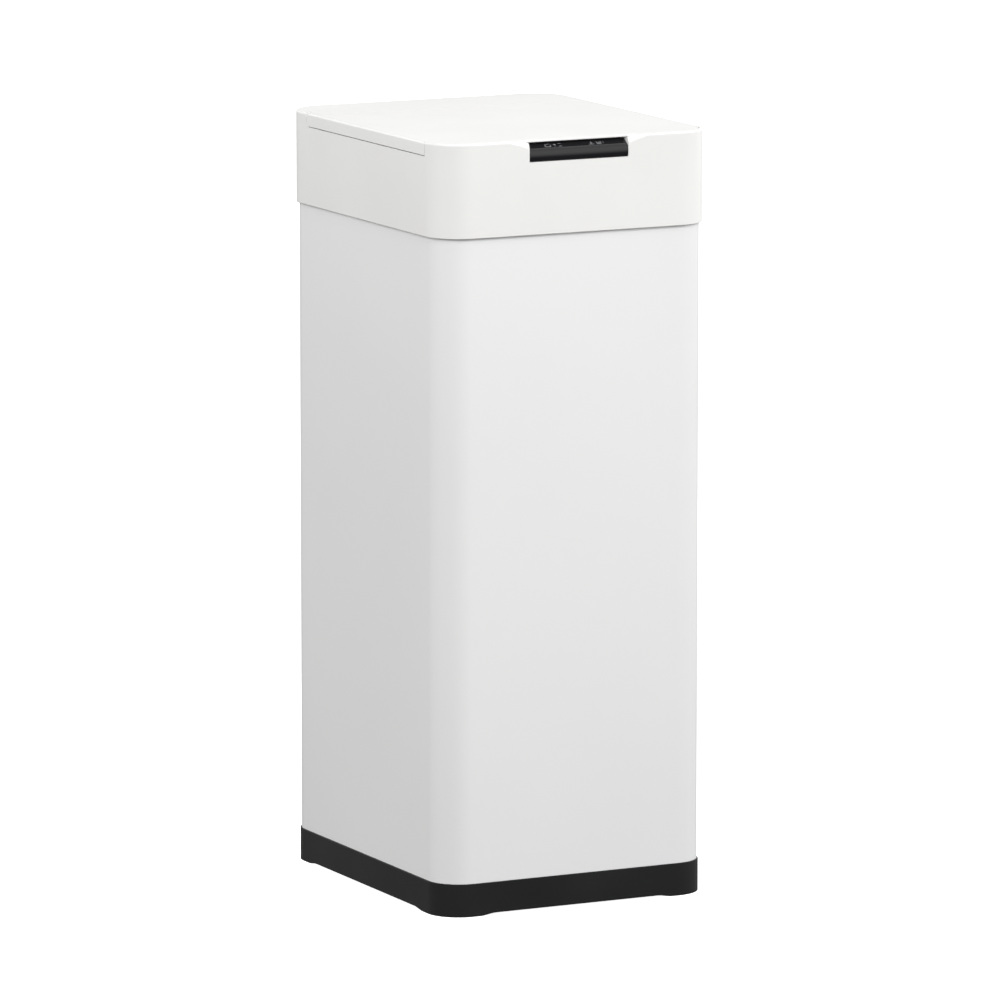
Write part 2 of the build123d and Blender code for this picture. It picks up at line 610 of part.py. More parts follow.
def make_power_inlet():
    """Round low-voltage inlet in the rear face, with its bore and centre pin."""
    inlet = rod_y(BACK - 18, BACK - 0.4, INLET_X, INLET_Z, INLET_RADIUS)
    inlet -= rod_y(BACK - 10, BACK, INLET_X, INLET_Z, 2.8)
    return inlet + rod_y(BACK - 11, BACK - 2, INLET_X, INLET_Z, 1.0)


def make_switch_housing():
    """Square housing of the power switch, with a round seat for its rocker."""
    y0 = BACK - 16
    housing = block(SWITCH_X - SWITCH_HALF_X, SWITCH_X + SWITCH_HALF_X, y0, BACK - 0.4,
                    INLET_Z - SWITCH_HALF_Z, INLET_Z + SWITCH_HALF_Z)
    housing -= rod_x(SWITCH_X - 6, SWITCH_X + 6, ROCKER_Y, INLET_Z, ROCKER_RADIUS + RUN_GAP)
    housing -= block(SWITCH_X - 6, SWITCH_X + 6, ROCKER_Y, BACK,
                     INLET_Z - ROCKER_RADIUS - RUN_GAP, INLET_Z + ROCKER_RADIUS + RUN_GAP)
    return housing


def make_power_switch():
    """Rocker with a dished front, resting with its upper end pressed."""
    rocker = rod_x(SWITCH_X - ROCKER_HALF, SWITCH_X + ROCKER_HALF, ROCKER_Y, INLET_Z, ROCKER_RADIUS)
    cut = prism_x(SWITCH_X - 7, SWITCH_X + 7,
                  [(ROCKER_Y + 8, INLET_Z - 8), (ROCKER_Y + 8, INLET_Z + 8),
                   (ROCKER_Y + 4.6, INLET_Z + 6.4), (ROCKER_Y + 3.2, INLET_Z),
                   (ROCKER_Y + 4.6, INLET_Z - 6.4)])
    rocker -= cut
    return Pos(0, ROCKER_Y, INLET_Z) * Rot(10, 0, 0) * Pos(0, -ROCKER_Y, -INLET_Z) * rocker


def make_lid_motor():
    """Round motor that turns the lid, along X in the housing."""
    rear = MOTOR_X - LID_MOTOR_LENGTH
    can = rod_x(rear, MOTOR_X, LID_MOTOR_Y, LID_MOTOR_Z, LID_MOTOR_RADIUS)
    can = fillet(can.edges().filter_by(GeomType.CIRCLE), 1.5)
    return can + rod_x(rear - 4, rear, LID_MOTOR_Y, LID_MOTOR_Z, 4.0)


def make_lid_gearbox():
    """Gearbox of the lid's motor, screwed to the rib, with its output shaft."""
    box = rod_x(MOTOR_X, MOTOR_X + LID_GEARBOX_LENGTH, LID_MOTOR_Y, LID_MOTOR_Z, LID_GEARBOX_RADIUS)
    return chamfer(box.edges().filter_by(GeomType.CIRCLE), 0.8)


def make_lid_pinion():
    """Small gear and shaft that drive the lid's gear."""
    phase = LID_MOTOR_ANGLE + 180 + 180 / LID_PINION_TEETH
    pinion = gear(LID_MODULE, LID_PINION_TEETH, LID_GEAR_X0 - 0.5, LID_GEAR_X1 + 0.5,
                  LID_MOTOR_Y, LID_MOTOR_Z, phase)
    start = MOTOR_X + LID_GEARBOX_LENGTH + RUN_GAP
    return pinion + rod_x(start, LID_GEAR_X0 + 1, LID_MOTOR_Y, LID_MOTOR_Z, 2.5)


def make_lid_gear():
    """Toothed sector on the lid's shaft, kept under the deck."""
    behind = 12.0
    ahead = LID_OPEN + 10.0
    step = 360 / LID_GEAR_TEETH
    first = -round(behind / step)
    last = int(ahead / step)
    sector = gear(LID_MODULE, LID_GEAR_TEETH, LID_GEAR_X0, LID_GEAR_X1, HINGE_Y, HINGE_Z,
                  LID_MOTOR_ANGLE, first, last)
    return sector - rod_x(LID_GEAR_X0 - 1, LID_GEAR_X1 + 1, HINGE_Y, HINGE_Z, SHAFT_RADIUS)


def make_hinge_pin():
    """Left hinge pin, pressed into its cheek, on which the lid turns."""
    return rod_x(-FLANGE_IN - FLANGE_WALL * 0.7, -CHEEK_IN + 0.4, HINGE_Y, HINGE_Z, PIN_RADIUS)


def make_hinge_shaft():
    """Right hinge shaft, fixed in the lid, which carries the lid's gear."""
    shaft = rod_x(LID_GEAR_X0 - 1, FLANGE_IN, HINGE_Y, HINGE_Z, SHAFT_RADIUS)
    return shaft + rod_x(FLANGE_IN, FLANGE_IN + FLANGE_WALL * 0.7, HINGE_Y, HINGE_Z, PIN_RADIUS)


# ------------------------------------------------------------------------------- bucket and its ring
def tapered(width, depth, radius, taper, low, high):
    """Upright form with round corners that narrows downwards."""
    top = Pos(0, RAM_Y, high) * RectangleRounded(width, depth, radius)
    foot = Pos(0, RAM_Y, low) * RectangleRounded(width - 2 * taper, depth - 2 * taper, radius - 4)
    return loft([foot, top])


def make_inner_bucket():
    """Plastic bucket that takes the bag, standing on the base's ribs."""
    high = HEAD_LOW - 0.7
    bucket = tapered(BUCKET_WIDTH, BUCKET_DEPTH, 30, BUCKET_TAPER, RIB_TOP, high)
    rim = slab(BUCKET_WIDTH + 2 * BUCKET_RIM, BUCKET_DEPTH + 2 * BUCKET_RIM, 32, high - 4, high, RAM_Y)
    bucket += fillet(rim.faces().sort_by(Axis.Z)[-1].edges(), 0.8)
    inner = tapered(BUCKET_WIDTH - 2 * BUCKET_WALL, BUCKET_DEPTH - 2 * BUCKET_WALL, 28, BUCKET_TAPER,
                    RIB_TOP, high)
    keep = block(-SIDE, SIDE, FRONT, BACK, RIB_TOP + BUCKET_FLOOR, HEIGHT)
    return bucket - (inner & keep)


def make_bag_ring():
    """Ring that lies on the collar's floor and grips the edge of the bag."""
    ring = slab(RING_WIDTH, RING_DEPTH, 34, FLOOR_TOP, RING_TOP, RAM_Y)
    skirt_width = BUCKET_WIDTH - 2 * BUCKET_WALL - 4
    skirt_depth = BUCKET_DEPTH - 2 * BUCKET_WALL - 4
    ring += slab(skirt_width, skirt_depth, 26, HEAD_LOW - 18, FLOOR_TOP, RAM_Y)
    ring -= slab(skirt_width - 4, skirt_depth - 4, 24, HEAD_LOW - 19, FLOOR_TOP, RAM_Y)
    ring -= slab(THROAT_WIDTH, THROAT_DEPTH, 15, FLOOR_TOP - 1, RING_TOP + 1, RAM_Y)
    return ring


def make_ring_seal():
    """Rubber seal on the ring, under the lower edge of the ram housing."""
    seal = slab(RAM_WIDTH + 2, RAM_DEPTH + 2, 19, RING_TOP, SEAL_TOP, RAM_Y)
    return seal - slab(THROAT_WIDTH, THROAT_DEPTH, 15, RING_TOP - 1, SEAL_TOP + 1, RAM_Y)


# ------------------------------------------------------------------------------------------ the lid
def make_lid_cover():
    """White lid: a top plate, two side flanges that end round the hinge, and a front lip."""
    form = head_form()
    zone = block(-SIDE - 1, SIDE + 1, LID_START, LID_SEAM_Y, LID_LOW, HEIGHT + 1)
    for side in (-1, 1):
        x0, x1 = span(side, FLANGE_IN, SIDE + 1)
        zone += block(x0, x1, LID_SEAM_Y - 1, HINGE_Y, LID_LOW, HEIGHT + 1)
        zone += rod_x(x0, x1, HINGE_Y, HINGE_Z, LID_FLANGE / 2)
    rim = HEAD_WALL + SEAM
    front = slab(HEAD_WIDTH - 2 * rim, HEAD_DEPTH - 2 * rim, HEAD_RADIUS - rim, LID_LOW, HEIGHT + 1)
    zone += front & block(-SIDE, SIDE, FRONT, LID_START + 1, LID_LOW, HEIGHT + 1)
    lid = form & zone
    wall = rim + 2.5
    lid -= slab(HEAD_WIDTH - 2 * wall, HEAD_DEPTH - 2 * wall, HEAD_RADIUS - wall, LID_LOW - 1, LID_UNDER)
    lid -= block(-FLANGE_IN, FLANGE_IN, LID_START + 2, HINGE_Y + 10, LID_LOW - 1, LID_UNDER)
    pod = WINDOW_WIDTH / 2 + CHEEK + SEAM
    lid -= block(-pod, pod, FRONT, POD_BACK + 3, LID_LOW - 1, LID_UNDER)
    lip = WINDOW_WIDTH / 2 + SEAM
    lid -= block(-lip, lip, FRONT, FRONT + LIP_BACK, LID_LOW, HEIGHT + 1)
    rear = LID_SEAM_Y
    lid -= prism_x(-FLANGE_IN, FLANGE_IN, [(rear - 1, LID_UNDER - 0.1), (rear + 1, LID_UNDER - 0.1),
                                           (rear + 1, LID_UNDER + 2), (rear, LID_UNDER + 1)])
    for side, radius in ((-1, PIN_RADIUS + BORE_GAP), (1, PIN_RADIUS)):
        x0, x1 = span(side, FLANGE_IN - 1, FLANGE_IN + FLANGE_WALL * 0.7 + (0.3 if side < 0 else 0))
        lid -= rod_x(x0, x1, HINGE_Y, HINGE_Z, radius)
    for x, y in chassis_screw_places():
        lid -= rod_z(LID_UNDER - 1, LID_UNDER + 1.4, x, y, 2.0)
    for x in (-RAM_WIDTH / 2 - 6, RAM_WIDTH / 2 + 4.5):
        lid += block(x, x + 1.5, LID_START + 10, LID_SEAM_Y - 8, LID_UNDER - 5, LID_UNDER)
    return lid


def make_ram_housing():
    """Grey skirt round the ram, hanging from the lid."""
    skirt = slab(RAM_WIDTH, RAM_DEPTH, 18, RAM_LOW, LID_UNDER, RAM_Y)
    return skirt - slab(THROAT_WIDTH, THROAT_DEPTH, 15, RAM_LOW - 1, LID_UNDER + 1, RAM_Y)


def chassis_screw_places():
    """Screws through the rails' top flanges into the lid."""
    x = RAIL_PLANE + 9
    return [(side * x, y) for side in (-1, 1) for y in (ROLLER_Y + 12, CENTRE_Y - 20,
                                                       CENTRE_Y + 32, PIVOT_Y - 12)]


def make_chassis_rail(side):
    """Steel side rail of the ram, with a guide slot, the pivot's hole and a flange at the top."""
    x0, x1 = span(side, RAIL_PLANE - RAIL_SHEET / 2, RAIL_PLANE + RAIL_SHEET / 2)
    f0, f1 = span(side, RAIL_PLANE - RAIL_SHEET / 2, RAIL_PLANE + 15)
    rail = block(x0, x1, RAIL_FRONT, RAIL_BACK, RAIL_LOW, LID_UNDER)
    rail = fillet(rail.edges().filter_by(Axis.X).group_by(Axis.Z)[0], 4.0)
    rail += block(f0, f1, RAIL_FRONT, RAIL_BACK, LID_UNDER - 2, LID_UNDER)
    rail -= slot_x(x0 - 1, x1 + 1, ROLLER_Y, ROLLER_Y + ROLLER_TRAVEL, UPPER_Z, ROLLER_RADIUS + 0.2)
    rail -= rod_x(x0 - 1, x1 + 1, PIVOT_Y, UPPER_Z, 7.0)
    if side > 0:
        rail -= rod_x(x0 - 1, x1 + 1, RAM_MOTOR_Y, RAM_MOTOR_Z, ROD_RADIUS + BORE_GAP)
    for x, y in chassis_screw_places():
        if x * side > 0:
            rail -= rod_z(LID_UNDER - 4, LID_UNDER + 1, x, y, 2.0)
    return rail


def cross_member(y0, y1, z0, z1):
    """Strip between the two rails."""
    half = RAIL_PLANE - RAIL_SHEET / 2
    return block(-half, half, y0, y1, z0, z1)


def make_chassis_front():
    """Front cross member, with a stiffening fold."""
    y = RAIL_FRONT + 1
    strip = cross_member(y, y + 2, RAIL_LOW + 4, LID_UNDER - 2)
    return strip + cross_member(y, y + 8, LID_UNDER - 4, LID_UNDER - 2)


def make_chassis_rear():
    """Rear cross member, with a stiffening fold."""
    y = RAIL_BACK - 3
    strip = cross_member(y, y + 2, RAIL_LOW + 4, LID_UNDER - 2)
    return strip + cross_member(y - 6, y + 2, LID_UNDER - 4, LID_UNDER - 2)


def make_chassis_bridge():
    """Flat strip across the middle of the rails, just under the lid."""
    strip = cross_member(CENTRE_Y - 25, CENTRE_Y + 15, LID_UNDER - 4, LID_UNDER - 2)
    for x in (-60, 0, 60):
        strip -= rod_z(LID_UNDER - 6, LID_UNDER, x, CENTRE_Y - 5, 10)
    return strip


def make_chassis_screws():
    """Screws that hold the rails to the lid."""
    return group(screw_z(x, y, LID_UNDER - 2, 3.2, 2.0, down=False)
                 for x, y in chassis_screw_places())


def make_pivot_bearings():
    """Flanged bronze bushes in the rails, in which the ram's shaft turns."""
    bushes = []
    for side in (-1, 1):
        x0, x1 = span(side, RAIL_PLANE - RAIL_SHEET / 2, RAIL_PLANE + RAIL_SHEET / 2 + 1.5)
        f0, f1 = span(side, RAIL_PLANE - RAIL_SHEET / 2 - 1.0, RAIL_PLANE - RAIL_SHEET / 2)
        bush = rod_x(x0, x1, PIVOT_Y, UPPER_Z, 7.0) + rod_x(f0, f1, PIVOT_Y, UPPER_Z, 9.0)
        bushes.append(bush - rod_x(x0 - 3, x1 + 3, PIVOT_Y, UPPER_Z, TUBE_RADIUS + BORE_GAP))
    return group(bushes)


def make_limit_switches():
    """Two small switches on the right rail, with their levers, that stop the ram and the lid."""
    x1 = RAIL_PLANE - RAIL_SHEET / 2
    switches = []
    for y in (ROLLER_Y + 26, ROLLER_Y + 60):
        z = LID_UNDER - SWITCH_UNDER_LID - SWITCH_TALL
        switch = block(x1 - 6, x1, y - 9, y + 9, z, z + SWITCH_TALL)
        lever = prism_x(x1 - 5, x1 - 1, [(y - 8, z), (y + 9, z - 3.2), (y + 9, z - 2.6), (y - 6, z)])
        switches.append(switch + lever)
    return group(switches)


def make_ram_bracket():
    """Steel plate that hangs from the bridge level and carries the ram's gearbox."""
    x0 = PLANE_B - ARM_SHEET / 2 - 5.0
    plate = block(x0, x0 + 2, RAM_MOTOR_Y - 20, RAM_MOTOR_Y + 20, RAM_MOTOR_Z - RAM_MOTOR_RADIUS,
                  LID_UNDER)
    plate += block(x0 - 14, x0 + 2, RAM_MOTOR_Y - 20, RAM_MOTOR_Y + 20, LID_UNDER - 2, LID_UNDER)
    return plate - rod_x(x0 - 1, x0 + 3, RAM_MOTOR_Y, RAM_MOTOR_Z, 5.0)


def make_ram_gearbox():
    """Planetary gearbox of the ram, flat against its bracket."""
    x1 = PLANE_B - ARM_SHEET / 2 - 5.0
    box = rod_x(x1 - RAM_GEARBOX_LENGTH, x1, RAM_MOTOR_Y, RAM_MOTOR_Z, RAM_GEARBOX_RADIUS)
    return chamfer(box.edges().filter_by(GeomType.CIRCLE), 0.8)


def make_ram_motor():
    """Motor of the ram, with its rear boss."""
    x1 = PLANE_B - ARM_SHEET / 2 - 5.0 - RAM_GEARBOX_LENGTH
    rear = x1 - RAM_MOTOR_LENGTH
    can = rod_x(rear, x1, RAM_MOTOR_Y, RAM_MOTOR_Z, RAM_MOTOR_RADIUS)
    can = fillet(can.edges().filter_by(GeomType.CIRCLE), 1.5)
    return can + rod_x(rear - 4, rear, RAM_MOTOR_Y, RAM_MOTOR_Z, 5.0)


def make_ram_pinion():
    """Pinion and its shaft, supported in the right rail."""
    phase = RAM_MOTOR_ANGLE + 180 + 180 / RAM_PINION_TEETH
    half = GEAR_WIDTH / 2 + 0.5
    pinion = gear(RAM_MODULE, RAM_PINION_TEETH, GEAR_PLANE - half, GEAR_PLANE + half,
                  RAM_MOTOR_Y, RAM_MOTOR_Z, phase)
    x0 = PLANE_B - ARM_SHEET / 2 - 5.0 + RUN_GAP
    return pinion + rod_x(x0, RAIL_PLANE + RAIL_SHEET, RAM_MOTOR_Y, RAM_MOTOR_Z, ROD_RADIUS)


# ------------------------------------------------------------------------------------- scissor arms
def arm(plane, side, front_z, rear_z, front_hole, rear_hole, middle_hole):
    """Flat bar with round ends from the front pivot to the rear one, with three holes."""
    x0, x1 = span(side, plane - ARM_SHEET / 2, plane + ARM_SHEET / 2)
    tilt = math.degrees(math.atan2(rear_z - front_z, ARM_SPAN))
    middle_z = (front_z + rear_z) / 2
    bar = slot_x(x0, x1, -ARM_LENGTH / 2, ARM_LENGTH / 2, 0, ARM_HEIGHT / 2)
    for place, radius in ((-ARM_LENGTH / 2, front_hole), (ARM_LENGTH / 2, rear_hole), (0, middle_hole)):
        if radius > 0:
            bar -= rod_x(x0 - 1, x1 + 1, place, 0, radius)
    return Pos(0, CENTRE_Y, middle_z) * Rot(tilt, 0, 0) * bar


def rod_with_heads(y, z):
    """Cross rod of the inner arms, with collars between the arms and heads outside them."""
    half = PLANE_A + ARM_SHEET / 2 + RUN_GAP
    rod = rod_x(-half - 1.6, half + 1.6, y, z, ROD_RADIUS)
    for side in (-1, 1):
        x0, x1 = span(side, half, half + 1.6)
        rod += rod_x(x0, x1, y, z, 4.6)
        c0, c1 = span(side, PLANE_B + ARM_SHEET / 2, PLANE_A - ARM_SHEET / 2 - RUN_GAP)
        rod += rod_x(c0, c1, y, z, 5.0)
    return rod


def make_upper_arms_a():
    """Outer arms of the upper stage, fixed on the ram's shaft."""
    return group(both(lambda side: arm(PLANE_A, side, MIDDLE_Z, UPPER_Z,
                                       OPEN_HOLE, TUBE_RADIUS, RUN_HOLE)))


def make_ram_shaft():
    """Shaft at the top rear pivot, turned by the sector."""
    half = RAIL_PLANE + RAIL_SHEET / 2 + 4.0
    shaft = rod_x(-half, half, PIVOT_Y, UPPER_Z, TUBE_RADIUS)
    return chamfer(shaft.edges().filter_by(GeomType.CIRCLE), 0.6)


def make_ram_sector():
    """Toothed sector on the ram's shaft."""
    step = 360 / RAM_GEAR_TEETH
    first = -int((RAM_OPEN + 6.0) / step)
    last = 2
    x0 = GEAR_PLANE - GEAR_WIDTH / 2
    x1 = GEAR_PLANE + GEAR_WIDTH / 2
    sector = gear(RAM_MODULE, RAM_GEAR_TEETH, x0, x1, PIVOT_Y, UPPER_Z, RAM_MOTOR_ANGLE, first, last)
    sector += rod_x(PLANE_A + ARM_SHEET / 2, x1, PIVOT_Y, UPPER_Z, 9.0)
    return sector - rod_x(x0 - 5, x1 + 1, PIVOT_Y, UPPER_Z, TUBE_RADIUS)


def roller_axle(y, z):
    """Axle that runs out to the guide rollers on both sides."""
    half = RAIL_PLANE + RAIL_SHEET / 2 + 2.6
    axle = rod_x(-half, half, y, z, ROD_RADIUS)
    for side in (-1, 1):
        x0, x1 = span(side, half - 1.2, half)
        axle += rod_x(x0, x1, y, z, 4.4)
    return axle


def make_upper_arms_b():
    """Inner arms of the upper stage, with their cross rods and the axle of the upper rollers."""
    frame = rod_with_heads(CENTRE_Y, (UPPER_Z + MIDDLE_Z) / 2)
    frame += rod_with_heads(PIVOT_Y, MIDDLE_Z)
    frame += roller_axle(ROLLER_Y, UPPER_Z)
    for side in (-1, 1):
        frame += arm(PLANE_B, side, UPPER_Z, MIDDLE_Z, 0, 0, 0)
    return frame


def make_lower_arms_a():
    """Outer arms of the lower stage, with the axle of the lower rollers."""
    frame = roller_axle(ROLLER_Y, LOWER_Z)
    for side in (-1, 1):
        frame += arm(PLANE_A, side, LOWER_Z, MIDDLE_Z, 0, RUN_HOLE, RUN_HOLE)
    return frame


def make_lower_arms_b():
    """Inner arms of the lower stage, with their cross rods and the plate's hinge rod."""
    frame = rod_with_heads(CENTRE_Y, (MIDDLE_Z + LOWER_Z) / 2)
    frame += rod_with_heads(ROLLER_Y, MIDDLE_Z)
    frame += roller_axle(PIVOT_Y, LOWER_Z)
    for side in (-1, 1):
        frame += arm(PLANE_B, side, MIDDLE_Z, LOWER_Z, 0, 0, 0)
    return frame


def make_rollers(z):
    """Pair of nylon rollers on an axle, running in the guide slots."""
    rollers = []
    for side in (-1, 1):
        x0, x1 = span(side, RAIL_PLANE - RAIL_SHEET / 2 - 1.2, RAIL_PLANE + RAIL_SHEET / 2 + 1.0)
        roller = rod_x(x0, x1, ROLLER_Y, z, ROLLER_RADIUS)
        rollers.append(roller - rod_x(x0 - 1, x1 + 1, ROLLER_Y, z, ROD_RADIUS + BORE_GAP))
    return group(rollers)


# ------------------------------------------------------------------------------------- press plate
def make_press_plate():
    """Steel tray with an upturned edge and pressed ribs that pushes the waste down."""
    plate = slab(PLATE_WIDTH, PLATE_DEPTH, 12, PLATE_LOW, PLATE_TOP, RAM_Y)
    plate = fillet(plate.faces().sort_by(Axis.Z)[0].edges(), 1.5)
    edge = 2 * PLATE_SHEET
    plate -= slab(PLATE_WIDTH - edge, PLATE_DEPTH - edge, 10, PLATE_LOW + PLATE_SHEET,
                  PLATE_TOP + 1, RAM_Y)
    for x in (-60, -20, 20, 60):
        rib = slot_y(x, RAM_Y - PLATE_DEPTH / 2 + 30, RAM_Y + PLATE_DEPTH / 2 - 30, 5.0,
                     PLATE_LOW + PLATE_SHEET, PLATE_LOW + PLATE_SHEET + 1.5)
        groove = slot_y(x, RAM_Y - PLATE_DEPTH / 2 + 30, RAM_Y + PLATE_DEPTH / 2 - 30, 3.0,
                        PLATE_LOW - 1, PLATE_LOW + 1.2)
        plate += rib
        plate -= groove
    for x, y in plate_screw_places():
        plate -= rod_z(PLATE_LOW + 0.6, PLATE_LOW + PLATE_SHEET + 1, x, y, 2.0)
    return plate


def slot_y(x, y0, y1, radius, z0, z1):
    """Upright pad along Y with round ends."""
    return (
        block(x - radius, x + radius, y0, y1, z0, z1)
        + rod_z(z0, z1, x, y0, radius)
        + rod_z(z0, z1, x, y1, radius)
    )


def plate_screw_places():
    """Screws through the plate rails' foot flanges."""
    x = RAIL_PLANE + 8
    return [(side * x, y) for side in (-1, 1) for y in (ROLLER_Y + 10, CENTRE_Y - 30,
                                                       CENTRE_Y + 40, PIVOT_Y - 12)]


def make_plate_rail(side):
    """Guide rail on the press plate, with a slot for the lower roller and the plate's hinge hole."""
    x0, x1 = span(side, RAIL_PLANE - RAIL_SHEET / 2, RAIL_PLANE + RAIL_SHEET / 2)
    f0, f1 = span(side, RAIL_PLANE - RAIL_SHEET / 2, RAIL_PLANE + 14)
    low = PLATE_LOW + PLATE_SHEET
    high = LOWER_Z + 7.2
    back = PIVOT_Y + 8
    rail = block(x0, x1, RAIL_FRONT + 4, back, low, high)
    rail = fillet(rail.edges().filter_by(Axis.X).group_by(Axis.Z)[-1], 4.0)
    rail += block(f0, f1, RAIL_FRONT + 4, back, low, low + 2)
    rail -= slot_x(x0 - 1, x1 + 1, ROLLER_Y, ROLLER_Y + ROLLER_TRAVEL, LOWER_Z, ROLLER_RADIUS + 0.2)
    rail -= rod_x(x0 - 1, x1 + 1, PIVOT_Y, LOWER_Z, RUN_HOLE)
    for x, y in plate_screw_places():
        if x * side > 0:
            rail -= rod_z(low - 1, low + 3, x, y, 2.0)
    return rail


def make_plate_wiper():
    """Rubber edge round the press plate."""
    low = PLATE_LOW + 2
    wiper = slab(PLATE_WIDTH + 3, PLATE_DEPTH + 3, 13.5, low, low + 4, RAM_Y)
    return wiper - slab(PLATE_WIDTH, PLATE_DEPTH, 12, low - 1, low + 5, RAM_Y)


def make_plate_screws():
    """Screws that hold the plate's rails."""
    return group(screw_z(x, y, PLATE_LOW + PLATE_SHEET + 2, 3.2, 2.0)
                 for x, y in plate_screw_places())


# ------------------------------------------------------------------------------------------- write
PARTS = {
    "base_tray": make_base_tray,
    "foot_pads": make_foot_pads,
    "base_screws": make_base_screws,
    "body_shell": make_body_shell,
    "head_collar": make_head_collar,
    "collar_screws": make_collar_screws,
    "panel_lens": make_panel_lens,
    "panel_board": make_panel_board,
    "touch_board": make_touch_board,
    "ir_sensors": make_ir_sensors,
    "rear_housing": make_rear_housing,
    "filter_cover": make_filter_cover,
    "odour_filter": make_odour_filter,
    "main_board": make_main_board,
    "power_supply": make_power_supply,
    "power_inlet": make_power_inlet,
    "switch_housing": make_switch_housing,
    "power_switch": make_power_switch,
    "lid_motor": make_lid_motor,
    "lid_gearbox": make_lid_gearbox,
    "lid_pinion": make_lid_pinion,
    "lid_gear": make_lid_gear,
    "hinge_pin": make_hinge_pin,
    "hinge_shaft": make_hinge_shaft,
    "inner_bucket": make_inner_bucket,
    "bag_ring": make_bag_ring,
    "ring_seal": make_ring_seal,
    "lid_cover": make_lid_cover,
    "ram_housing": make_ram_housing,
    "chassis_rail_left": lambda: make_chassis_rail(-1),
    "chassis_rail_right": lambda: make_chassis_rail(1),
    "chassis_front": make_chassis_front,
    "chassis_rear": make_chassis_rear,
    "chassis_bridge": make_chassis_bridge,
    "chassis_screws": make_chassis_screws,
    "pivot_bearings": make_pivot_bearings,
    "limit_switches": make_limit_switches,
    "ram_bracket": make_ram_bracket,
    "ram_gearbox": make_ram_gearbox,
    "ram_motor": make_ram_motor,
    "ram_pinion": make_ram_pinion,
    "upper_arms_a": make_upper_arms_a,
    "ram_shaft": make_ram_shaft,
    "ram_sector": make_ram_sector,
    "upper_arms_b": make_upper_arms_b,
    "lower_arms_a": make_lower_arms_a,
    "lower_arms_b": make_lower_arms_b,
    "upper_rollers": lambda: make_rollers(UPPER_Z),
    "lower_rollers": lambda: make_rollers(LOWER_Z),
    "press_plate": make_press_plate,
    "plate_rail_left": lambda: make_plate_rail(-1),
    "plate_rail_right": lambda: make_plate_rail(1),
    "plate_wiper": make_plate_wiper,
    "plate_screws": make_plate_screws,
}

for name, make in PARTS.items():
    export_step(make(), f"parts/{name}.step")
    print(name)
print("ram pivot", round(PIVOT_Y, 3), round(UPPER_Z, 3), "roller", round(ROLLER_Y, 3))
print("middle", round(CENTRE_Y, 3), "levels", round(MIDDLE_Z, 3), round(LOWER_Z, 3))
print("ram motor", round(RAM_MOTOR_Y, 3), round(RAM_MOTOR_Z, 3))
print("hinge", round(HINGE_Y, 3), round(HINGE_Z, 3))
print("lid motor", round(LID_MOTOR_Y, 3), round(LID_MOTOR_Z, 3))
print("rocker", round(ROCKER_Y, 3), round(INLET_Z, 3))
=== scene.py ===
# %% [markdown]
# # A trash compactor, built around its CAD model
#
# The CAD model gives every size, joint and place. This file dresses it: the outside skins, the bucket
# and the ram are made again as smooth numpy surfaces, the moulded parts with many cut-outs keep their
# CAD form with a cleaned copy of the mesh, and every piece gets a procedural finish.

# %% Load the frame
import json
import math

import bmesh
import bpy
import numpy as np
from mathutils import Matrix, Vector


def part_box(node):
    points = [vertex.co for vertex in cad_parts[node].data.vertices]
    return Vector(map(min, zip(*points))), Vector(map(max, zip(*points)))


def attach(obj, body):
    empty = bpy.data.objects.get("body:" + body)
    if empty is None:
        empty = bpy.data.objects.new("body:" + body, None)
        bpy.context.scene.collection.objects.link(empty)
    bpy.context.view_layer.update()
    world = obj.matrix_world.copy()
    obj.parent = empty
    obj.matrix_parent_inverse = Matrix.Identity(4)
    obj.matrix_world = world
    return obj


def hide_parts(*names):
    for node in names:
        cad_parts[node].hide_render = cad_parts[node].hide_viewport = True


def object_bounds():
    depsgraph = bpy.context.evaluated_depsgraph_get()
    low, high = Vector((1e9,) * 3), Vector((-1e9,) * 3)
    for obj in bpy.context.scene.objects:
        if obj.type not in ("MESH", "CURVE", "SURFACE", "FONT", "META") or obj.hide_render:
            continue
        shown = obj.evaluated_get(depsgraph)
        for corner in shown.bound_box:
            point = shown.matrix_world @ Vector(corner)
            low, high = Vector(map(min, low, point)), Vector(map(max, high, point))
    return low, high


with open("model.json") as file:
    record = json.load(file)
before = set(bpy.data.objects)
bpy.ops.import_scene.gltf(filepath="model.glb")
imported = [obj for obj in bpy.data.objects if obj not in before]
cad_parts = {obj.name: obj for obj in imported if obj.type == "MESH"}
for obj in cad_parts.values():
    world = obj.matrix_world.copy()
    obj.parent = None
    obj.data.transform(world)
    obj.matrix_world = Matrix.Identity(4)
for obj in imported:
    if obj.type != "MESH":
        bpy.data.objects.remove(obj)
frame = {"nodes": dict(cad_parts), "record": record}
cad_low, cad_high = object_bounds()
nodes = frame["nodes"]
body_of = {node: body for body, members in frame["record"]["behaviour"]["bodies"].items()
           for node in members}
slot_of = {part["node"]: part["material_slot"] for part in frame["record"]["subparts"]}

# %% [markdown]
# ## Shader maths as Python
#
# A finish is a formula over the surface: noise, steps and mixes. Written with raw nodes such a formula
# is hard to read, so one small class wraps a socket and turns Python's operators into Math nodes. Its
# node method adds any other node, from the node's type, its settings and its inputs.


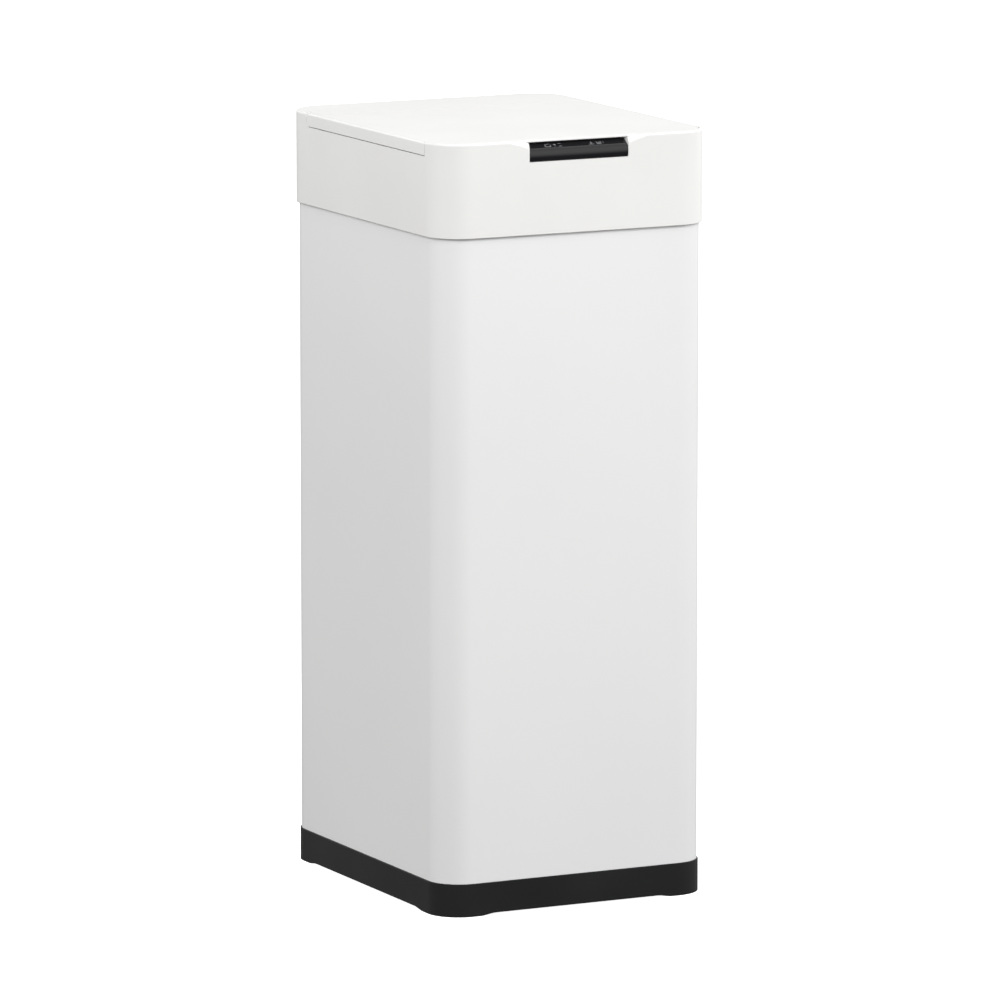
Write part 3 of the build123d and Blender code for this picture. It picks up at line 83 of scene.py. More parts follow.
# %% A value in a material
class Wire:
    """A value in a material's tree. Operators add Math nodes, and node() adds any other node."""

    def __init__(self, tree, socket=None):
        self.tree = tree
        self.socket = socket

    def node(self, kind, settings=None, inputs=None, out=0):
        """Adds a node with its settings and its inputs (values or wires) and returns one output."""
        node = self.tree.nodes.new(kind)
        for name, value in (settings or {}).items():
            if name == "stops":
                ramp = node.color_ramp
                for element, (place, colour) in zip(ramp.elements, value):
                    element.position = place
                    element.color = colour
                for place, colour in value[2:]:
                    ramp.elements.new(place).color = colour
            else:
                setattr(node, name, value)
        for name, value in (inputs or {}).items():
            if isinstance(value, Wire):
                self.tree.links.new(value.socket, node.inputs[name])
            else:
                node.inputs[name].default_value = value
        return Wire(self.tree, node.outputs[out])

    def math(self, operation, *values):
        """One Math node of this operation."""
        return self.node("ShaderNodeMath", {"operation": operation}, dict(enumerate(values)))

    def __add__(self, other):
        return self.math("ADD", self, other)

    def __radd__(self, other):
        return self.math("ADD", other, self)

    def __sub__(self, other):
        return self.math("SUBTRACT", self, other)

    def __rsub__(self, other):
        return self.math("SUBTRACT", other, self)

    def __mul__(self, other):
        return self.math("MULTIPLY", self, other)

    def __rmul__(self, other):
        return self.math("MULTIPLY", other, self)

    def clamp(self):
        """The value held between 0 and 1."""
        return self.node("ShaderNodeClamp", None, {"Value": self})

    def ramp(self, low, high):
        """0 below low, 1 above high, and a smooth step between."""
        return self.node("ShaderNodeMapRange", {"interpolation_type": "SMOOTHSTEP"},
                         {"Value": self, "From Min": low, "From Max": high})

    def mix(self, first, second):
        """Colour first where this value is 0 and second where it is 1."""
        return self.node("ShaderNodeMix", {"data_type": "RGBA"}, {0: self, 6: first, 7: second}, out=2)


def rgb(red, green, blue):
    """An opaque colour."""
    return (red, green, blue, 1.0)


print("shader values are ready, and mid grey is", rgb(0.5, 0.5, 0.5))

# %% [markdown]
# ## Patterns
#
# Real surfaces are never even. Moulded plastic carries the fine spark-eroded grain of its tool, powder
# coat has a slow orange-peel wave, sheet steel has brush marks along its length. Each is noise of one
# size on Object coordinates, which stay with the piece when it moves, and most of it goes to roughness
# and bump, because such detail shows in highlights more than in colour.


# %% Noise, streaks and dust
def place_of(wire):
    """Where a point is, in metres, in the piece's own frame."""
    return wire.node("ShaderNodeTexCoord", out="Object")


def axis(wire, number):
    """One coordinate of a point, in metres: 0 for X, 1 for Y and 2 for Z."""
    return wire.node("ShaderNodeSeparateXYZ", None, {"Vector": place_of(wire)}, out=number)


def noise(wire, size, detail=3.0, stretch=(1, 1, 1), roughness=0.5):
    """Noise from 0 to 1 whose lumps are about this size in metres, drawn out along an axis."""
    scaled = wire.node("ShaderNodeVectorMath", {"operation": "MULTIPLY"},
                       {0: place_of(wire), 1: tuple(1 / (size * s) for s in stretch)})
    return wire.node("ShaderNodeTexNoise", None,
                     {"Vector": scaled, "Scale": 1.0, "Detail": detail, "Roughness": roughness})


def grains(wire, size):
    """Distance from 0 to 1 to the nearest of many grains of this size."""
    return wire.node("ShaderNodeTexVoronoi", None,
                     {"Vector": place_of(wire), "Scale": 1 / size, "Randomness": 1.0})


def bump(wire, height, distance, strength=1.0):
    """Normals of a height field, in metres."""
    return wire.node("ShaderNodeBump", None,
                     {"Height": height, "Distance": distance, "Strength": strength})


print("patterns are ready: noise, grains and bump")

# %% [markdown]
# ## Finishes
#
# Every finish ends in one Principled shader. What varies over the surface (colour, roughness, coat
# and normal) is wired, and a number that is the same everywhere is set straight on its socket.


# %% The shader behind every finish
FINISHES = {}


def finish(name, colour, roughness, normal=None, metallic=0.0, **constants):
    """A material from a colour, a roughness and a normal, each a number or a function of a wire."""
    if name in FINISHES:
        return FINISHES[name]
    material = bpy.data.materials.new(name)
    material.use_nodes = True
    tree = material.node_tree
    tree.nodes.clear()
    wire = Wire(tree)
    inputs = {"Base Color": colour(wire) if callable(colour) else colour,
              "Roughness": roughness(wire) if callable(roughness) else roughness,
              "Metallic": metallic}
    if normal is not None:
        inputs["Normal"] = normal(wire)
    inputs.update(constants)
    shader = wire.node("ShaderNodeBsdfPrincipled", None, inputs)
    output = tree.nodes.new("ShaderNodeOutputMaterial")
    tree.links.new(shader.socket, output.inputs["Surface"])
    FINISHES[name] = material
    print("made finish", name, "with", len(tree.nodes), "nodes")
    return material


# %% [markdown]
# ## Moulded plastics
#
# The head, the base, the bucket and the gears are moulded. A tool's surface is spark-eroded, and each
# moulding takes over its grain, finer on the white head than on the black base. A picture of a grain
# could be wrapped round them, but noise on Object coordinates has no seams and keeps its true size.


# %% Plastic with a grain
def plastic(name, light, dark, gloss, grain=0.00045, depth=0.00002, tone_size=0.12, shine=0.5):
    """Moulded plastic: two close tones in large soft clouds, and the fine grain of its tool."""
    def colour(wire):
        clouds = noise(wire, tone_size, 2.0).ramp(0.3, 0.7)
        specks = noise(wire, 0.0011, 2.0).ramp(0.62, 0.74)
        return (0.25 * specks).mix(clouds.mix(light, dark), dark)

    def roughness(wire):
        return (gloss + 0.05 * (noise(wire, 0.02, 4.0) - 0.5) + 0.04 * (noise(wire, grain) - 0.5)).clamp()

    def normal(wire):
        return bump(wire, noise(wire, grain, 4.0), depth)

    return finish(name, colour, roughness, normal, **{"Specular IOR Level": shine})


# %% White and black plastic
def white_plastic():
    """Warm white head and lid, satin, with a very fine grain."""
    return plastic("white_plastic", rgb(0.845, 0.843, 0.825), rgb(0.822, 0.820, 0.803), 0.34,
                   0.00035, 0.000006)


def black_plastic():
    """Black base, with a coarse spark-eroded grain that catches the light."""
    return plastic("black_plastic", rgb(0.011, 0.011, 0.0115), rgb(0.016, 0.016, 0.0165), 0.50,
                   0.0006, 0.00004, shine=0.2)


# %% Inner plastics and nylon
def grey_plastic():
    """Mid-grey inner mouldings."""
    return plastic("grey_plastic", rgb(0.36, 0.37, 0.38), rgb(0.31, 0.32, 0.33), 0.48, 0.0006, 0.00003)


def dark_plastic():
    """Dark bucket, with a coarser grain."""
    return plastic("dark_plastic", rgb(0.075, 0.078, 0.082), rgb(0.055, 0.058, 0.061), 0.52,
                   0.0009, 0.00005)


def nylon():
    """Milky nylon of gears and rollers."""
    return plastic("nylon", rgb(0.78, 0.77, 0.71), rgb(0.70, 0.69, 0.63), 0.38, 0.0005, 0.00001, 0.01)


# %% Polished acrylic
def black_gloss():
    """Polished black acrylic: deep colour, a clear coat and the faint haze of wiping."""
    def haze(wire):
        return (0.045 + 0.10 * noise(wire, 0.012, 5.0, (3, 1, 1)).ramp(0.5, 0.8)).clamp()

    def colour(wire):
        return noise(wire, 0.05, 2.0).mix(rgb(0.006, 0.006, 0.007), rgb(0.010, 0.010, 0.012))

    def normal(wire):
        return bump(wire, noise(wire, 0.03, 1.0), 0.00004)

    return finish("black_gloss", colour, haze, normal, **{"Coat Weight": 0.6, "Coat Roughness": 0.03})


# %% [markdown]
# ## Coated and bare metals
#
# The body is powder-coated sheet. The powder melts into a skin with a slow wave, like orange peel, which
# a smooth white shader would lack. Shafts, rails and screws are bare or zinc-plated, and their fine
# lines run along the piece, or round it where it was turned. One function draws them all, with the
# noise drawn out along another axis.


# %% Powder coat
def white_steel():
    """Powder-coated sheet: a slightly cooler white, with an orange-peel wave two millimetres long."""
    def colour(wire):
        clouds = noise(wire, 0.25, 2.0).ramp(0.3, 0.7)
        flecks = noise(wire, 0.0009, 2.0).ramp(0.66, 0.76)
        base = clouds.mix(rgb(0.848, 0.848, 0.846), rgb(0.830, 0.831, 0.830))
        return (0.3 * flecks).mix(base, rgb(0.72, 0.73, 0.73))

    def roughness(wire):
        return 0.30 + 0.06 * noise(wire, 0.0016, 3.0) + 0.05 * noise(wire, 0.06, 3.0).ramp(0.4, 0.7)

    def normal(wire):
        peel = noise(wire, 0.0022, 2.0) + 0.4 * noise(wire, 0.0009, 1.0)
        return bump(wire, peel, 0.00003)

    return finish("white_steel", colour, roughness, normal, **{"Coat Weight": 0.15, "Coat Roughness": 0.2})


# %% Steel with lines
def steel(name, tone, gloss, along=(1, 1, 1), line=0.0004, spangle=0.0):
    """Bare or plated steel: fine lines along the piece, and the cloudy crystals of zinc if asked."""
    def colour(wire):
        crystals = grains(wire, 0.006).ramp(0.2, 0.75)
        lines = noise(wire, line, 3.0, along)
        darker = tuple(0.72 * c for c in tone[:3]) + (1.0,)
        return (0.35 * lines + spangle * crystals).clamp().mix(tone, darker)

    def roughness(wire):
        crystals = grains(wire, 0.006).ramp(0.2, 0.75)
        return (gloss + 0.16 * (noise(wire, line, 3.0, along) - 0.5) + 0.25 * spangle * crystals).clamp()

    def normal(wire):
        return bump(wire, noise(wire, line, 2.0, along), 0.000008)

    return finish(name, colour, roughness, normal, metallic=1.0)


# %% Plated sheet, shafts and motor cases
def zinc_steel():
    """Zinc-plated sheet, pale grey with a soft spangle."""
    return steel("zinc_steel", rgb(0.60, 0.61, 0.62), 0.34, (1, 40, 1), 0.0005, 0.5)


def bright_steel():
    """Turned shafts and screws, with marks round their axis."""
    return steel("bright_steel", rgb(0.68, 0.68, 0.67), 0.22, (1, 25, 25), 0.00025)


def motor_can():
    """Deep-drawn motor case."""
    return steel("motor_can", rgb(0.46, 0.46, 0.47), 0.30, (30, 1, 1), 0.0004, 0.15)


# %% Sintered bronze
def bronze():
    """Sintered bronze: fine open pores, and a little dark oil in them."""
    def colour(wire):
        pores = grains(wire, 0.0007).ramp(0.1, 0.5)
        return pores.mix(rgb(0.20, 0.11, 0.04), rgb(0.60, 0.38, 0.17))

    def roughness(wire):
        return 0.42 - 0.12 * grains(wire, 0.0007)

    def normal(wire):
        return bump(wire, grains(wire, 0.0007).ramp(0.05, 0.4), 0.00003)

    return finish("bronze", colour, roughness, normal, metallic=1.0)


# %% [markdown]
# ## Rubber, board and charcoal
#
# These are the matt pieces. Rubber has a dull bloom, felt is a tangle of fibres, and a circuit board has
# tracks under green lacquer. The tracks could be cut into the mesh, but they are flatter than a hair, so
# a brick pattern and a slight bump are enough.


# %% Rubber
def black_rubber():
    """Matt black rubber, slightly bloomed."""
    def colour(wire):
        return noise(wire, 0.008, 4.0).ramp(0.35, 0.75).mix(rgb(0.018, 0.018, 0.018),
                                                            rgb(0.032, 0.032, 0.031))

    def roughness(wire):
        return 0.62 + 0.2 * noise(wire, 0.004, 4.0)

    def normal(wire):
        return bump(wire, noise(wire, 0.0007, 3.0), 0.00004)

    return finish("black_rubber", colour, roughness, normal)


# %% Lacquered board
def circuit_board():
    """Green lacquer over copper tracks, slightly raised.

    The tracks are the joints of a brick pattern laid on the board's own plane, X and Z.
    """
    def tracks(wire):
        turned = wire.node("ShaderNodeCombineXYZ", None, {"X": axis(wire, 0), "Y": axis(wire, 2)})
        return wire.node("ShaderNodeTexBrick", {"offset": 0.37, "squash": 0.6},
                         {"Vector": turned, "Scale": 260.0, "Mortar Size": 0.06,
                          "Mortar Smooth": 0.4, "Brick Width": 0.9, "Row Height": 0.35}, out="Fac")

    def colour(wire):
        return tracks(wire).mix(rgb(0.010, 0.075, 0.030), rgb(0.030, 0.16, 0.065))

    def roughness(wire):
        return 0.28 + 0.12 * noise(wire, 0.003, 3.0)

    def normal(wire):
        return bump(wire, tracks(wire), 0.00004)

    return finish("circuit_board", colour, roughness, normal)


# %% Board dipped in resin
def dipped_board():
    """Black resin over a board and its parts, a little cloudy."""
    def colour(wire):
        return noise(wire, 0.002, 3.0).mix(rgb(0.012, 0.012, 0.013), rgb(0.022, 0.022, 0.024))

    def roughness(wire):
        return 0.48 + 0.12 * noise(wire, 0.003, 3.0)

    return finish("dipped_board", colour, roughness)


# %% Charcoal felt and printed marks
def charcoal():
    """Charcoal felt: tangled dark fibres."""
    def fibres(wire):
        return noise(wire, 0.0012, 6.0, (6, 1, 1), 0.7)

    def colour(wire):
        return fibres(wire).mix(rgb(0.008, 0.008, 0.008), rgb(0.06, 0.06, 0.058))

    def normal(wire):
        return bump(wire, fibres(wire), 0.0005)

    return finish("charcoal", colour, lambda wire: 0.85 + 0.1 * fibres(wire), normal)


def printed_grey():
    """Marks printed behind the panel's skin: a dim grey, slightly uneven."""
    def colour(wire):
        return noise(wire, 0.0006, 3.0).ramp(0.3, 0.8).mix(rgb(0.24, 0.24, 0.245), rgb(0.34, 0.34, 0.345))

    def normal(wire):
        return bump(wire, noise(wire, 0.0003, 2.0), 0.00001)

    return finish("printed_grey", colour, lambda wire: 0.35 + 0.15 * noise(wire, 0.001), normal)


# %% A finish for each of the CAD model's slots
FINISH_OF_SLOT = {
    "white_plastic": white_plastic, "white_steel": white_steel, "black_plastic": black_plastic,
    "black_gloss": black_gloss, "black_rubber": black_rubber, "grey_plastic": grey_plastic,
    "dark_plastic": dark_plastic, "circuit_board": circuit_board, "zinc_steel": zinc_steel,
    "bright_steel": bright_steel, "motor_can": motor_can, "bronze": bronze, "nylon": nylon,
    "charcoal": charcoal,
}
print("slots with a finish:", ", ".join(FINISH_OF_SLOT))

# %% [markdown]
# ## The camera
#
# The camera looks from the left of the front, a little above the lid, through a long lens, so that the
# upright edges stay nearly parallel. It is placed by an aim point, a distance and two angles.


# %% The camera
def back_vector(azimuth, elevation):
    """Unit vector from the aim to the camera: azimuth turns it round Z from the front, in degrees."""
    turn = math.radians(azimuth)
    rise = math.radians(elevation)
    return Vector((math.sin(turn) * math.cos(rise), -math.cos(turn) * math.cos(rise), math.sin(rise)))


CAMERA_AZIMUTH = -26.476
CAMERA_ELEVATION = 9.352
CAMERA_DISTANCE = 9.0
CAMERA_AIM = Vector((-0.02486, -0.05591, 0.40845))
FOCAL_LENGTH = 312.31
SENSOR_WIDTH = 36.0
FARTHEST_SEEN = 200.0
lens = bpy.data.cameras.new("camera")
lens.lens = FOCAL_LENGTH
lens.sensor_width = SENSOR_WIDTH
lens.clip_end = FARTHEST_SEEN
camera = bpy.data.objects.new("camera", lens)
backwards = back_vector(CAMERA_AZIMUTH, CAMERA_ELEVATION)
camera.location = CAMERA_AIM + CAMERA_DISTANCE * backwards
camera.rotation_euler = (-backwards).to_track_quat("-Z", "Y").to_euler()
bpy.context.scene.collection.objects.link(camera)
bpy.context.scene.camera = camera
print("camera at", tuple(round(c, 4) for c in camera.location))

# %% [markdown]
# ## Surfaces from arrays
#
# Most of this object is bent round one shape: a rectangle with round corners. A skin is a stack of such
# loops, each with its own half sizes, corner radius and height, joined row by row. The body, the
# bucket, the ring and the seals all come from the same function, because only their rows differ. Round
# parts are stacks of circles along a line, and bars are one outline carried along a line.


# %% Rows with rounded corners
MM = 0.001
ROUND_STEPS = 4
LONGEST_SHARE = 0.48
SHORTEST_REACH = 0.00001


def rounded_rows(rows, closed=False):
    """Rows whose corners are rounded. Each row ends with its reach, the rounding's length.

    A corner is replaced by points of the quadratic curve from the point one reach before it to the
    point one reach after it, pulled towards the corner itself. An open list keeps its two ends.
    """
    rows = np.asarray(rows, float)
    here = rows[:, :-1]
    before = np.roll(here, 1, axis=0) - here
    after = np.roll(here, -1, axis=0) - here
    reach = np.maximum(rows[:, -1:], SHORTEST_REACH)
    share_before = np.minimum(reach / np.linalg.norm(before, axis=1, keepdims=True), LONGEST_SHARE)
    share_after = np.minimum(reach / np.linalg.norm(after, axis=1, keepdims=True), LONGEST_SHARE)
    start = (here + before * share_before)[:, None]
    end = (here + after * share_after)[:, None]
    t = np.linspace(0, 1, ROUND_STEPS + 1)[None, :, None]
    curves = (1 - t) ** 2 * start + 2 * t * (1 - t) * here[:, None] + t ** 2 * end
    if closed:
        return curves.reshape(-1, here.shape[1])
    middle = curves[1:-1].reshape(-1, here.shape[1])
    return np.concatenate([here[:1], middle, here[-1:]])


square = [(0, 0, 0.1), (1, 0, 0.1), (1, 1, 0.1), (0, 1, 0.1)]
print("a square with rounded corners has", len(rounded_rows(square, closed=True)), "points")


# %% Faces between rows
def grid_faces(rows, columns, closed):
    """Quads between rows of points. The columns close on themselves, and the rows too if closed."""
    row = np.arange(rows if closed else rows - 1)[:, None]
    column = np.arange(columns)[None, :]
    after_row = (row + 1) % rows
    after_column = (column + 1) % columns
    corners = [row * columns + column, row * columns + after_column,
               after_row * columns + after_column, after_row * columns + column]
    return np.stack(corners, axis=-1).reshape(-1, 4).tolist()


def stacked(points, closed):
    """A shape, its points and faces, from a stack of loops. An open stack is closed by its end loops."""
    rows, columns = points.shape[:2]
    faces = grid_faces(rows, columns, closed)
    if not closed:
        faces.append(list(range(columns))[::-1])
        faces.append(list(range((rows - 1) * columns, rows * columns)))
    return points.reshape(-1, 3), faces


print("a grid of 3 rows and 4 columns has", len(grid_faces(3, 4, False)), "faces")

# %% Loops with round corners
CORNER_STEPS = 20
SMALLEST_CORNER = 0.0001


def loops(rows, centre_y=0.0, closed=False):
    """Round-cornered loops, one for each row of half x, half y, corner radius and height.

    A corner's centre is inset by the radius on the side that its quarter turn gives, and a point is
    the centre plus the radius along its angle. Straight sides run between the quarters.
    """
    half_x, half_y, radius, z = [rows[:, k, None] for k in range(4)]
    radius = np.maximum(radius, SMALLEST_CORNER)
    quarter = np.linspace(0, math.pi / 2, CORNER_STEPS + 1)
    turn = np.concatenate([quarter + k * math.pi / 2 for k in range(4)])[None, :]
    number = np.repeat(np.arange(4), CORNER_STEPS + 1)[None, :]
    side_x = np.where((number == 0) | (number == 3), 1.0, -1.0)
    side_y = np.where(number < 2, 1.0, -1.0)
    x = side_x * (half_x - radius) + radius * np.cos(turn)
    y = centre_y + side_y * (half_y - radius) + radius * np.sin(turn)
    return stacked(np.stack([x, y, z + 0 * turn], axis=-1), closed)


print("a loop has", 4 * (CORNER_STEPS + 1), "points")

# %% Circles along a line
TURN_STEPS = 64
SMALLEST_RADIUS = 0.00005


def turned(rows, y, z, closed=False):
    """A part turned about an X line: circles, one for each row of x and radius.

    A point is the line's place plus the radius times the cosine in Y and the sine in Z.
    """
    x = rows[:, 0, None]
    radius = np.maximum(rows[:, 1, None], SMALLEST_RADIUS)
    turn = np.linspace(0, 2 * math.pi, TURN_STEPS, endpoint=False)[None, :]
    points = np.stack([x + 0 * turn, y + radius * np.cos(turn), z + radius * np.sin(turn)], axis=-1)
    return stacked(points, closed)


print("a circle has", TURN_STEPS, "points")


# %% An outline carried along a line
def carried(outline, stations, insets, along=0):
    """A closed outline carried along an axis, each station with its outline drawn in by an inset.

    The outline holds the two other axes in turning order: (y, z) along X, (z, x) along Y and (x, y)
    along Z. A point moves in against the outline's normal, which is its tangent turned a quarter.
    """
    following = np.roll(outline, -1, axis=0)
    area = (outline[:, 0] * following[:, 1] - outline[:, 1] * following[:, 0]).sum()
    if area < 0:
        outline = outline[::-1]
    tangent = np.roll(outline, -1, axis=0) - np.roll(outline, 1, axis=0)
    tangent = tangent / np.linalg.norm(tangent, axis=1, keepdims=True)
    normal = np.stack([tangent[:, 1], -tangent[:, 0]], axis=1)
    flat = outline[None] - np.asarray(insets)[:, None, None] * normal[None]
    place = np.asarray(stations)[:, None] + 0 * flat[..., 0]
    columns = np.roll(np.stack([place, flat[..., 0], flat[..., 1]], axis=-1), along, axis=-1)
    return stacked(columns, False)


unit = np.array([(0, 0), (1, 0), (1, 1), (0, 1)], float)
print("a carried square has", len(carried(unit, [0, 1], [0, 0])[1]), "faces")


# %% From shapes to pieces
def joined(shapes):
    """Several shapes as one, each one's faces numbered after the points before it."""
    starts = np.cumsum([0] + [len(points) for points, faces in shapes])
    faces = [[int(start) + corner for corner in face]
             for start, (points, ring) in zip(starts, shapes) for face in ring]
    return np.concatenate([points for points, ring in shapes]), faces


def shade(piece, sharp=35.0):
    """Smooth shading that keeps edges sharper than an angle, with normals led by the large faces."""
    piece.data.polygons.foreach_set("use_smooth", np.ones(len(piece.data.polygons), bool))
    piece.data.set_sharp_from_angle(angle=math.radians(sharp))
    weigh = piece.modifiers.new("normals", "WEIGHTED_NORMAL")
    weigh.keep_sharp = True


def stands_for(piece, node):
    """Puts a finished piece in place of its CAD node, on the same body."""
    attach(piece, body_of[node])
    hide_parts(node)
    print("made", piece.name, "for", node, "with", len(piece.data.polygons), "faces")
    return piece


def make_piece(name, shapes, material, node=None):
    """A mesh object from shapes, standing for a CAD node if one is named."""
    points, faces = joined(shapes)
    mesh = bpy.data.meshes.new(name)
    mesh.from_pydata(points.tolist(), [], faces)
    mesh.validate()
    mesh.materials.append(material)
    piece = bpy.data.objects.new(name, mesh)
    bpy.context.scene.collection.objects.link(piece)
    shade(piece)
    return stands_for(piece, node) if node else piece


print("CAD nodes that a piece can stand for:", len(body_of))


# %% Measures of a CAD node
def box_of(node):
    """Centre and half sizes of a CAD node's box, as arrays."""
    low, high = (np.array(corner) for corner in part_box(node))
    return (low + high) / 2, (high - low) / 2


def span(centre, half, number):
    """Lowest and highest place of a box along one direction: 0 for X, 1 for Y and 2 for Z."""
    return centre[number] - half[number], centre[number] + half[number]


print("the body stands from", *(round(z / MM, 2) for z in span(*box_of("body_shell"), 2)), "mm")

# %% [markdown]
# ## The body
#
# The body is one sheet of steel bent into a tube, with a flange turned in at the top and four tabs for
# the screws of the base. A solid with its inside scooped out would do, but here the section of the
# sheet (two faces 0.9 mm apart, a rounded fold and a foot) is drawn once and swept round the corners,
# so that its thickness shows at every cut.

# %% Sheet-steel body
SHEET = 0.9 * MM
FLANGE = 8.0 * MM
BODY_INSET = 3.2 * MM
HEAD_RADIUS = 37.3 * MM
centre, half = box_of("body_shell")
foot, brow = span(centre, half, 2)
sheet_corners = [(0, foot, 0.2 * MM), (0, brow, 1.1 * MM), (-FLANGE, brow, 0.2 * MM),
                 (-FLANGE, brow - SHEET, 0.2 * MM), (-SHEET, brow - SHEET, 0.6 * MM),
                 (-SHEET, foot, 0.2 * MM)]
body_radius = HEAD_RADIUS - BODY_INSET
sheet_rows = rounded_rows([(half[0] + out, half[1] + out, body_radius + out, z, reach)
                           for out, z, reach in sheet_corners], closed=True)
shapes = [loops(sheet_rows, closed=True)]
print("the sheet's section has", len(sheet_rows), "points")

# %% Tabs for the base's screws
TAB = 16 * MM
TAB_SHEET = 1.5 * MM
TAB_RISE = 14 * MM
TAB_LOW = 52 * MM
TAB_EDGE = 0.3 * MM
TAB_PLACES = (-100 * MM, 100 * MM)
TAB_STATIONS = np.array([-11.0, -10.7, 10.7, 11.0]) * MM
tab_outline = rounded_rows([(TAB_LOW, 0, TAB_EDGE), (TAB_LOW + TAB_RISE, 0, TAB_EDGE),
                            (TAB_LOW + TAB_RISE, -TAB_SHEET, TAB_EDGE),
                            (TAB_LOW + TAB_SHEET, -TAB_SHEET, 1.0 * MM),
                            (TAB_LOW + TAB_SHEET, -TAB, TAB_EDGE), (TAB_LOW, -TAB, TAB_EDGE)],
                           closed=True)
inside = half[0] - SHEET
for y in TAB_PLACES:
    for side in (-1, 1):
        outline = np.stack([tab_outline[:, 0], side * (inside + tab_outline[:, 1])], axis=1)
        shapes.append(carried(outline, y + TAB_STATIONS, [TAB_EDGE, 0, 0, TAB_EDGE], along=1))
make_piece("body_skin", shapes, white_steel(), "body_shell")

# %% [markdown]
# ## Moulded and pressed parts with many cut-outs
#
# The head, the lid, the base and the housing have windows, ribs, bosses and holes, which the CAD model
# already holds exactly. Drawing them again would only lose detail. A copy of the CAD mesh is cleaned
# instead: its loose triangles are merged and flat regions become single faces again. A narrow bevel can
# give hard edges the small radius that a mould or a press leaves, which catches light. The head, the lid
# and the base go without it, because their outer edges are already round in the CAD model.


# %% Cleaned copies
MERGE_DISTANCE = 0.000002
FLAT_ANGLE = 0.6
EDGE_ANGLE = 40


def refined(node, material=None, edge=0.0, sharp=28.0):
    """A copy of a CAD node with its triangles merged, a bevel on hard edges and smooth shading."""
    piece = nodes[node].copy()
    piece.data = nodes[node].data.copy()
    piece.name = node + "_piece"
    piece.data.name = piece.name
    piece.parent = None
    for key in list(piece.keys()):
        del piece[key]
    bpy.context.scene.collection.objects.link(piece)
    shape = bmesh.new()
    shape.from_mesh(piece.data)
    bmesh.ops.remove_doubles(shape, verts=shape.verts, dist=MERGE_DISTANCE)
    bmesh.ops.dissolve_limit(shape, angle_limit=math.radians(FLAT_ANGLE), verts=shape.verts,
                             edges=shape.edges)
    shape.to_mesh(piece.data)
    shape.free()
    if piece.data.has_custom_normals:
        with bpy.context.temp_override(object=piece, active_object=piece):
            bpy.ops.mesh.customdata_custom_splitnormals_clear()
    if edge > 0:
        bevel = piece.modifiers.new("edge", "BEVEL")
        bevel.width = edge
        bevel.segments = 2
        bevel.limit_method = "ANGLE"
        bevel.angle_limit = math.radians(EDGE_ANGLE)
    shade(piece, sharp)
    piece.data.materials.clear()
    piece.data.materials.append(material or FINISH_OF_SLOT[slot_of[node]]())
    return stands_for(piece, node)


# %% Head, lid and base
for node in ("head_collar", "lid_cover", "base_tray"):
    refined(node)

# %% [markdown]
# ## The control panel
#
# The panel is one strip of black acrylic, folded once. Its lower facet bulges a little, which spreads
# the reflections from top to bottom, and the fold has a small radius. A section in Y and Z is drawn with
# numpy and carried along X, with its ends drawn in a little, so that the ends are not razor sharp.

# %% Panel lens
THICK = 2.0 * MM
BULGE = 0.9 * MM
FOLD = 10.0 * MM
SLOPE_TOP = 3.5 * MM
SLOPE_DEPTH = 10.0 * MM
BULGE_POINTS = 13
front_y = cad_low[1]
top_z = cad_high[2]
centre, half = box_of("panel_lens")
lens_foot = centre[2] - half[2]
tilt = math.atan2(FOLD - SLOPE_TOP, SLOPE_DEPTH)


def slope_points(inset):
    """Foot, fold and top of the panel's skin in Y and Z, moved in by a distance."""
    fold_z = top_z - FOLD - inset * math.tan((math.pi / 2 - tilt) / 2)
    edge_y = front_y + SLOPE_DEPTH + inset * math.sin(tilt)
    edge_z = top_z - SLOPE_TOP - inset * math.cos(tilt)
    return [(front_y + inset, lens_foot), (front_y + inset, fold_z), (edge_y, edge_z)]


outer = slope_points(BULGE)
inner = slope_points(BULGE + THICK)
rise = np.linspace(0.0, 1.0, BULGE_POINTS + 2)[1:-1]
bulge_y = outer[0][0] - BULGE * (1 - (2 * rise - 1) ** 2)
bulge_z = outer[0][1] + rise * (outer[1][1] - outer[0][1])
section = ([(*outer[0], 0.3 * MM)] + [(y, z, 0.25 * MM) for y, z in zip(bulge_y, bulge_z)]
           + [(*outer[1], 1.1 * MM), (*outer[2], 0.3 * MM), (*inner[2], 0.2 * MM),
              (*inner[1], 0.5 * MM), (*inner[0], 0.2 * MM)])
outline = rounded_rows(section, closed=True)
ends = half[0] - np.array([0.0, 0.08, 0.3]) * MM
stations = np.concatenate([-ends, ends[::-1]])
draw_in = np.array([0.3, 0.1, 0.0, 0.0, 0.1, 0.3]) * MM
make_piece("panel_skin", [carried(outline, stations, draw_in)], black_gloss(), "panel_lens")

# %% [markdown]
# ## Marks on the panel
#
# Two touch places on the sloped facet are marked with small signs: a lid that lifts and a load that is
# pressed down. Letters could be used, but signs say the same in every language. Each sign is a set of
# straight strokes on the facet, every stroke a very thin box, and all boxes come from one array.


